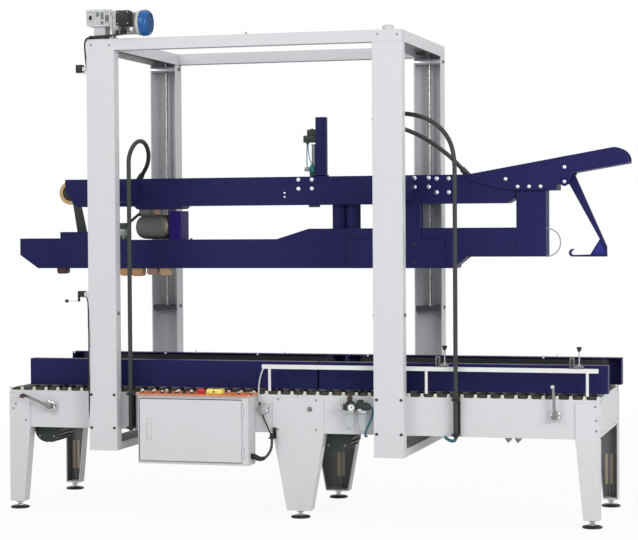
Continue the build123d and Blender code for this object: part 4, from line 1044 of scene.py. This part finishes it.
# small junction block on the lower beam and the cable from the motor to it
junction = {"x": (-800, -752), "y": (-98, -62)}
(x0, x1), (y0, y1) = junction.values()
draw("junctionBlock", paint["motorGreen"], [
    (box, (x0, x1), (y0, y1), (1408, 1440), 4), (box, (x0, x1 + 6), (y0, y1), (1352, 1374), 3)], "head")
draw("junctionPlate", metal["dull"], [
    (box, (x0, x1 - 6), (y0 + 3, y1 - 3), (1373, 1409), 2), (hexHead, (-764, y0 + 3, 1366), front, 7, 8)], "head")
wire("tapeWire", 7.5, plastic["black"], [
    (-668, -80, 1492), (-684, -82, 1486), (-706, -84, 1468), (-732, -84, 1446), (-752, -82, 1432), (-764, -80, 1424)],
    "head")

# narrow arm that carries the tape roll behind the beams
roll = {"x": -1113, "y": (32, 107), "z": 1600, "radius": 62, "core": 45, "hole": 42}
x, (y0, y1), z, r, core, hole = roll.values()
draw("tapeArm", paint["motorGreen"], [
    (plate, [(-1124, 1610), (-1117, 1622), (-1100, 1628), (-1082, 1614), (-1048, 1537), (-1018, 1400), (-1018, 1345),
             (-1062, 1345), (-1070, 1400), (-1090, 1537), (-1112, 1590)], (headBack, 28), 2),
    (capped, (x, 28, z), back, [(0, 0), (0, 24), (4, 24), (4, 36), (82, 36), (85, 33)], 40)],
    "head", ("tape_arm",))
draw("tapeRoll", woundTape("woundTape", (x, 0, z), 0.0012), [
    (turned, (x, y0, z), back, [(0, core), (0, r - 1), (1, r), (y1 - y0 - 1, r), (y1 - y0, r - 1), (y1 - y0, core),
                                (0, core)], 72)], "head", ("tape_roll",))
draw("tapeCore", plastic["card"], [
    (turned, (x, y0 - 0.5, z), back, [(0, hole), (0, core), (76, core), (76, hole), (0, hole)], 60)], "head")
draw("rollHub", paint["motorGreen"], [
    (capped, (x, headBack, z), front, [(0, 20), (4, 20), (5, 18)], 24),
    (capped, (x, 113, z), back, [(0, 26), (4, 25), (6, 22), (6, 8), (10, 7)], 30)], "head")

# press pads and rollers under the lower beam, worn nearly square: middle, half length, half height
pads = {"y": (-94, -34), "amber": ((-758, 1202, 31, 34), (-695, 1202, 29, 36)), "rose": ((-614, 1202, 27, 29),),
        "tan": ((-544, 1202, 25, 34),), "maroon": ((-1114, 1208, 25, 30),)}


def pressPad(bm, x, z, half, tall):
    low, high = pads["y"]
    rings = []
    for y, share in ((low, 0.93), (low + 3, 1), (high - 3, 1), (high, 0.93)):
        turns = [(c, s, (abs(c) ** 5 + abs(s) ** 5) ** -0.2 * share) for c, s in circle(40)]
        rings.append([bm.verts.new((x + half * c * swell, y, z + tall * s * swell)) for c, s, swell in turns])
    skin(bm, rings)
    bm.faces.new(rings[0])
    bm.faces.new(list(reversed(rings[-1])))


for tone in ("amber", "rose", "tan", "maroon"):
    draw(tone + "Rollers", plastic[tone], [(pressPad, *sizes) for sizes in pads[tone]], "head",
         ("press_rollers",) if tone == "amber" else ())

post = {"x": (263, 316), "y": (-98, -58), "z": (1666, 1962)}
(x0, x1), (y0, y1), (z0, z1) = post.values()
draw("postTube", paint["navy"], [
    (box, (x0, x1), (y0, y1), (z0, z1), 2), (box, (x0 - 2, x1 + 2), (y0, y1 + 16), (z0, z0 + 8), 1.5)],
    "head", ("cylinder_post",))
cylinder = {"x": 249, "y": -68, "low": 1700, "long": 128, "radius": 13}
x, y, z0, long, r = cylinder.values()
draw("cylinderTube", metal["dull"], [
    (turned, (x, y, z0), up, [(0, r), (long, r)], 28), (rod, (x, y, z0 - 12), (x, y, z0), 5),
    *((turned, (x, y, z), up, [(0, 14), (0.5, 14.6), (6, 14.6), (6.5, 14)], 28) for z in (1712, 1822)),
    (rod, (206, y, z0), (198, y, z0), 7)], "head", ("air_cylinder",))
draw("cylinderEnds", paint["motorGreen"], [
    (box, (196, 262), (y - 18, y + 18), (1836, 1872), 4), (box, (214, 262), (y - 12, y + 12), (1872, 1902), 3),
    (box, (228, 262), (y - 17, y + 17), (1667, 1710), 3),
    (capped, (222, y - 18, 1854), front, [(0, 10), (8, 10), (10, 8)], 20),
    (capped, (238, y, 1902), up, [(0, 9), (3, 9), (4, 7)], 18),
    (capped, (218, y - 12, 1838), down, [(0, 8), (8, 8), (10, 6)], 18)], "head")
draw("tealFitting", plastic["teal"], [
    (box, (228, 258), (y - 30, y - 14), (1686, 1716), 5),
    (capped, (242, y - 22, 1716), up, [(0, 8), (6, 8), (8, 6)], 18)], "head")
draw("greyFitting", metal["dull"], [(box, (204, 228), (y - 24, y - 6), (1692, 1714), 3)], "head")
wire("airLoopNear", 2.6, plastic["airBlue"], [
    (221, y - 12, 1832), (221, y - 14, 1810), (224, y - 17, 1780), (233, y - 20, 1745), (242, y - 22, 1728),
    (242, y - 22, 1718)], "head")
wire("airLoopFar", 2.6, plastic["airTeal"], [
    (216, y - 12, 1832), (215, y - 13, 1800), (214, y - 14, 1760), (215, y - 15, 1730), (216, y - 15, 1710)], "head")
print("head dressed")

# studs and pins on the rear boards
boards = {"rear_left_belt": ((-1168, -650, -141), (-489, 1)), "rear_right_belt": ((452, 1358), (1423,))}
for body, (studs, pins) in boards.items():
    draw(body + "Studs", metal["plated"], [
        *((dome, (x, 200, 750), front, 6, 4) for x in studs),
        *((capped, (x, 226, 754.5), up, [(0, 5), (2, 5), (3, 3.4), (10, 3.4), (11, 2)], 16) for x in pins)],
        body)
print("belts dressed")
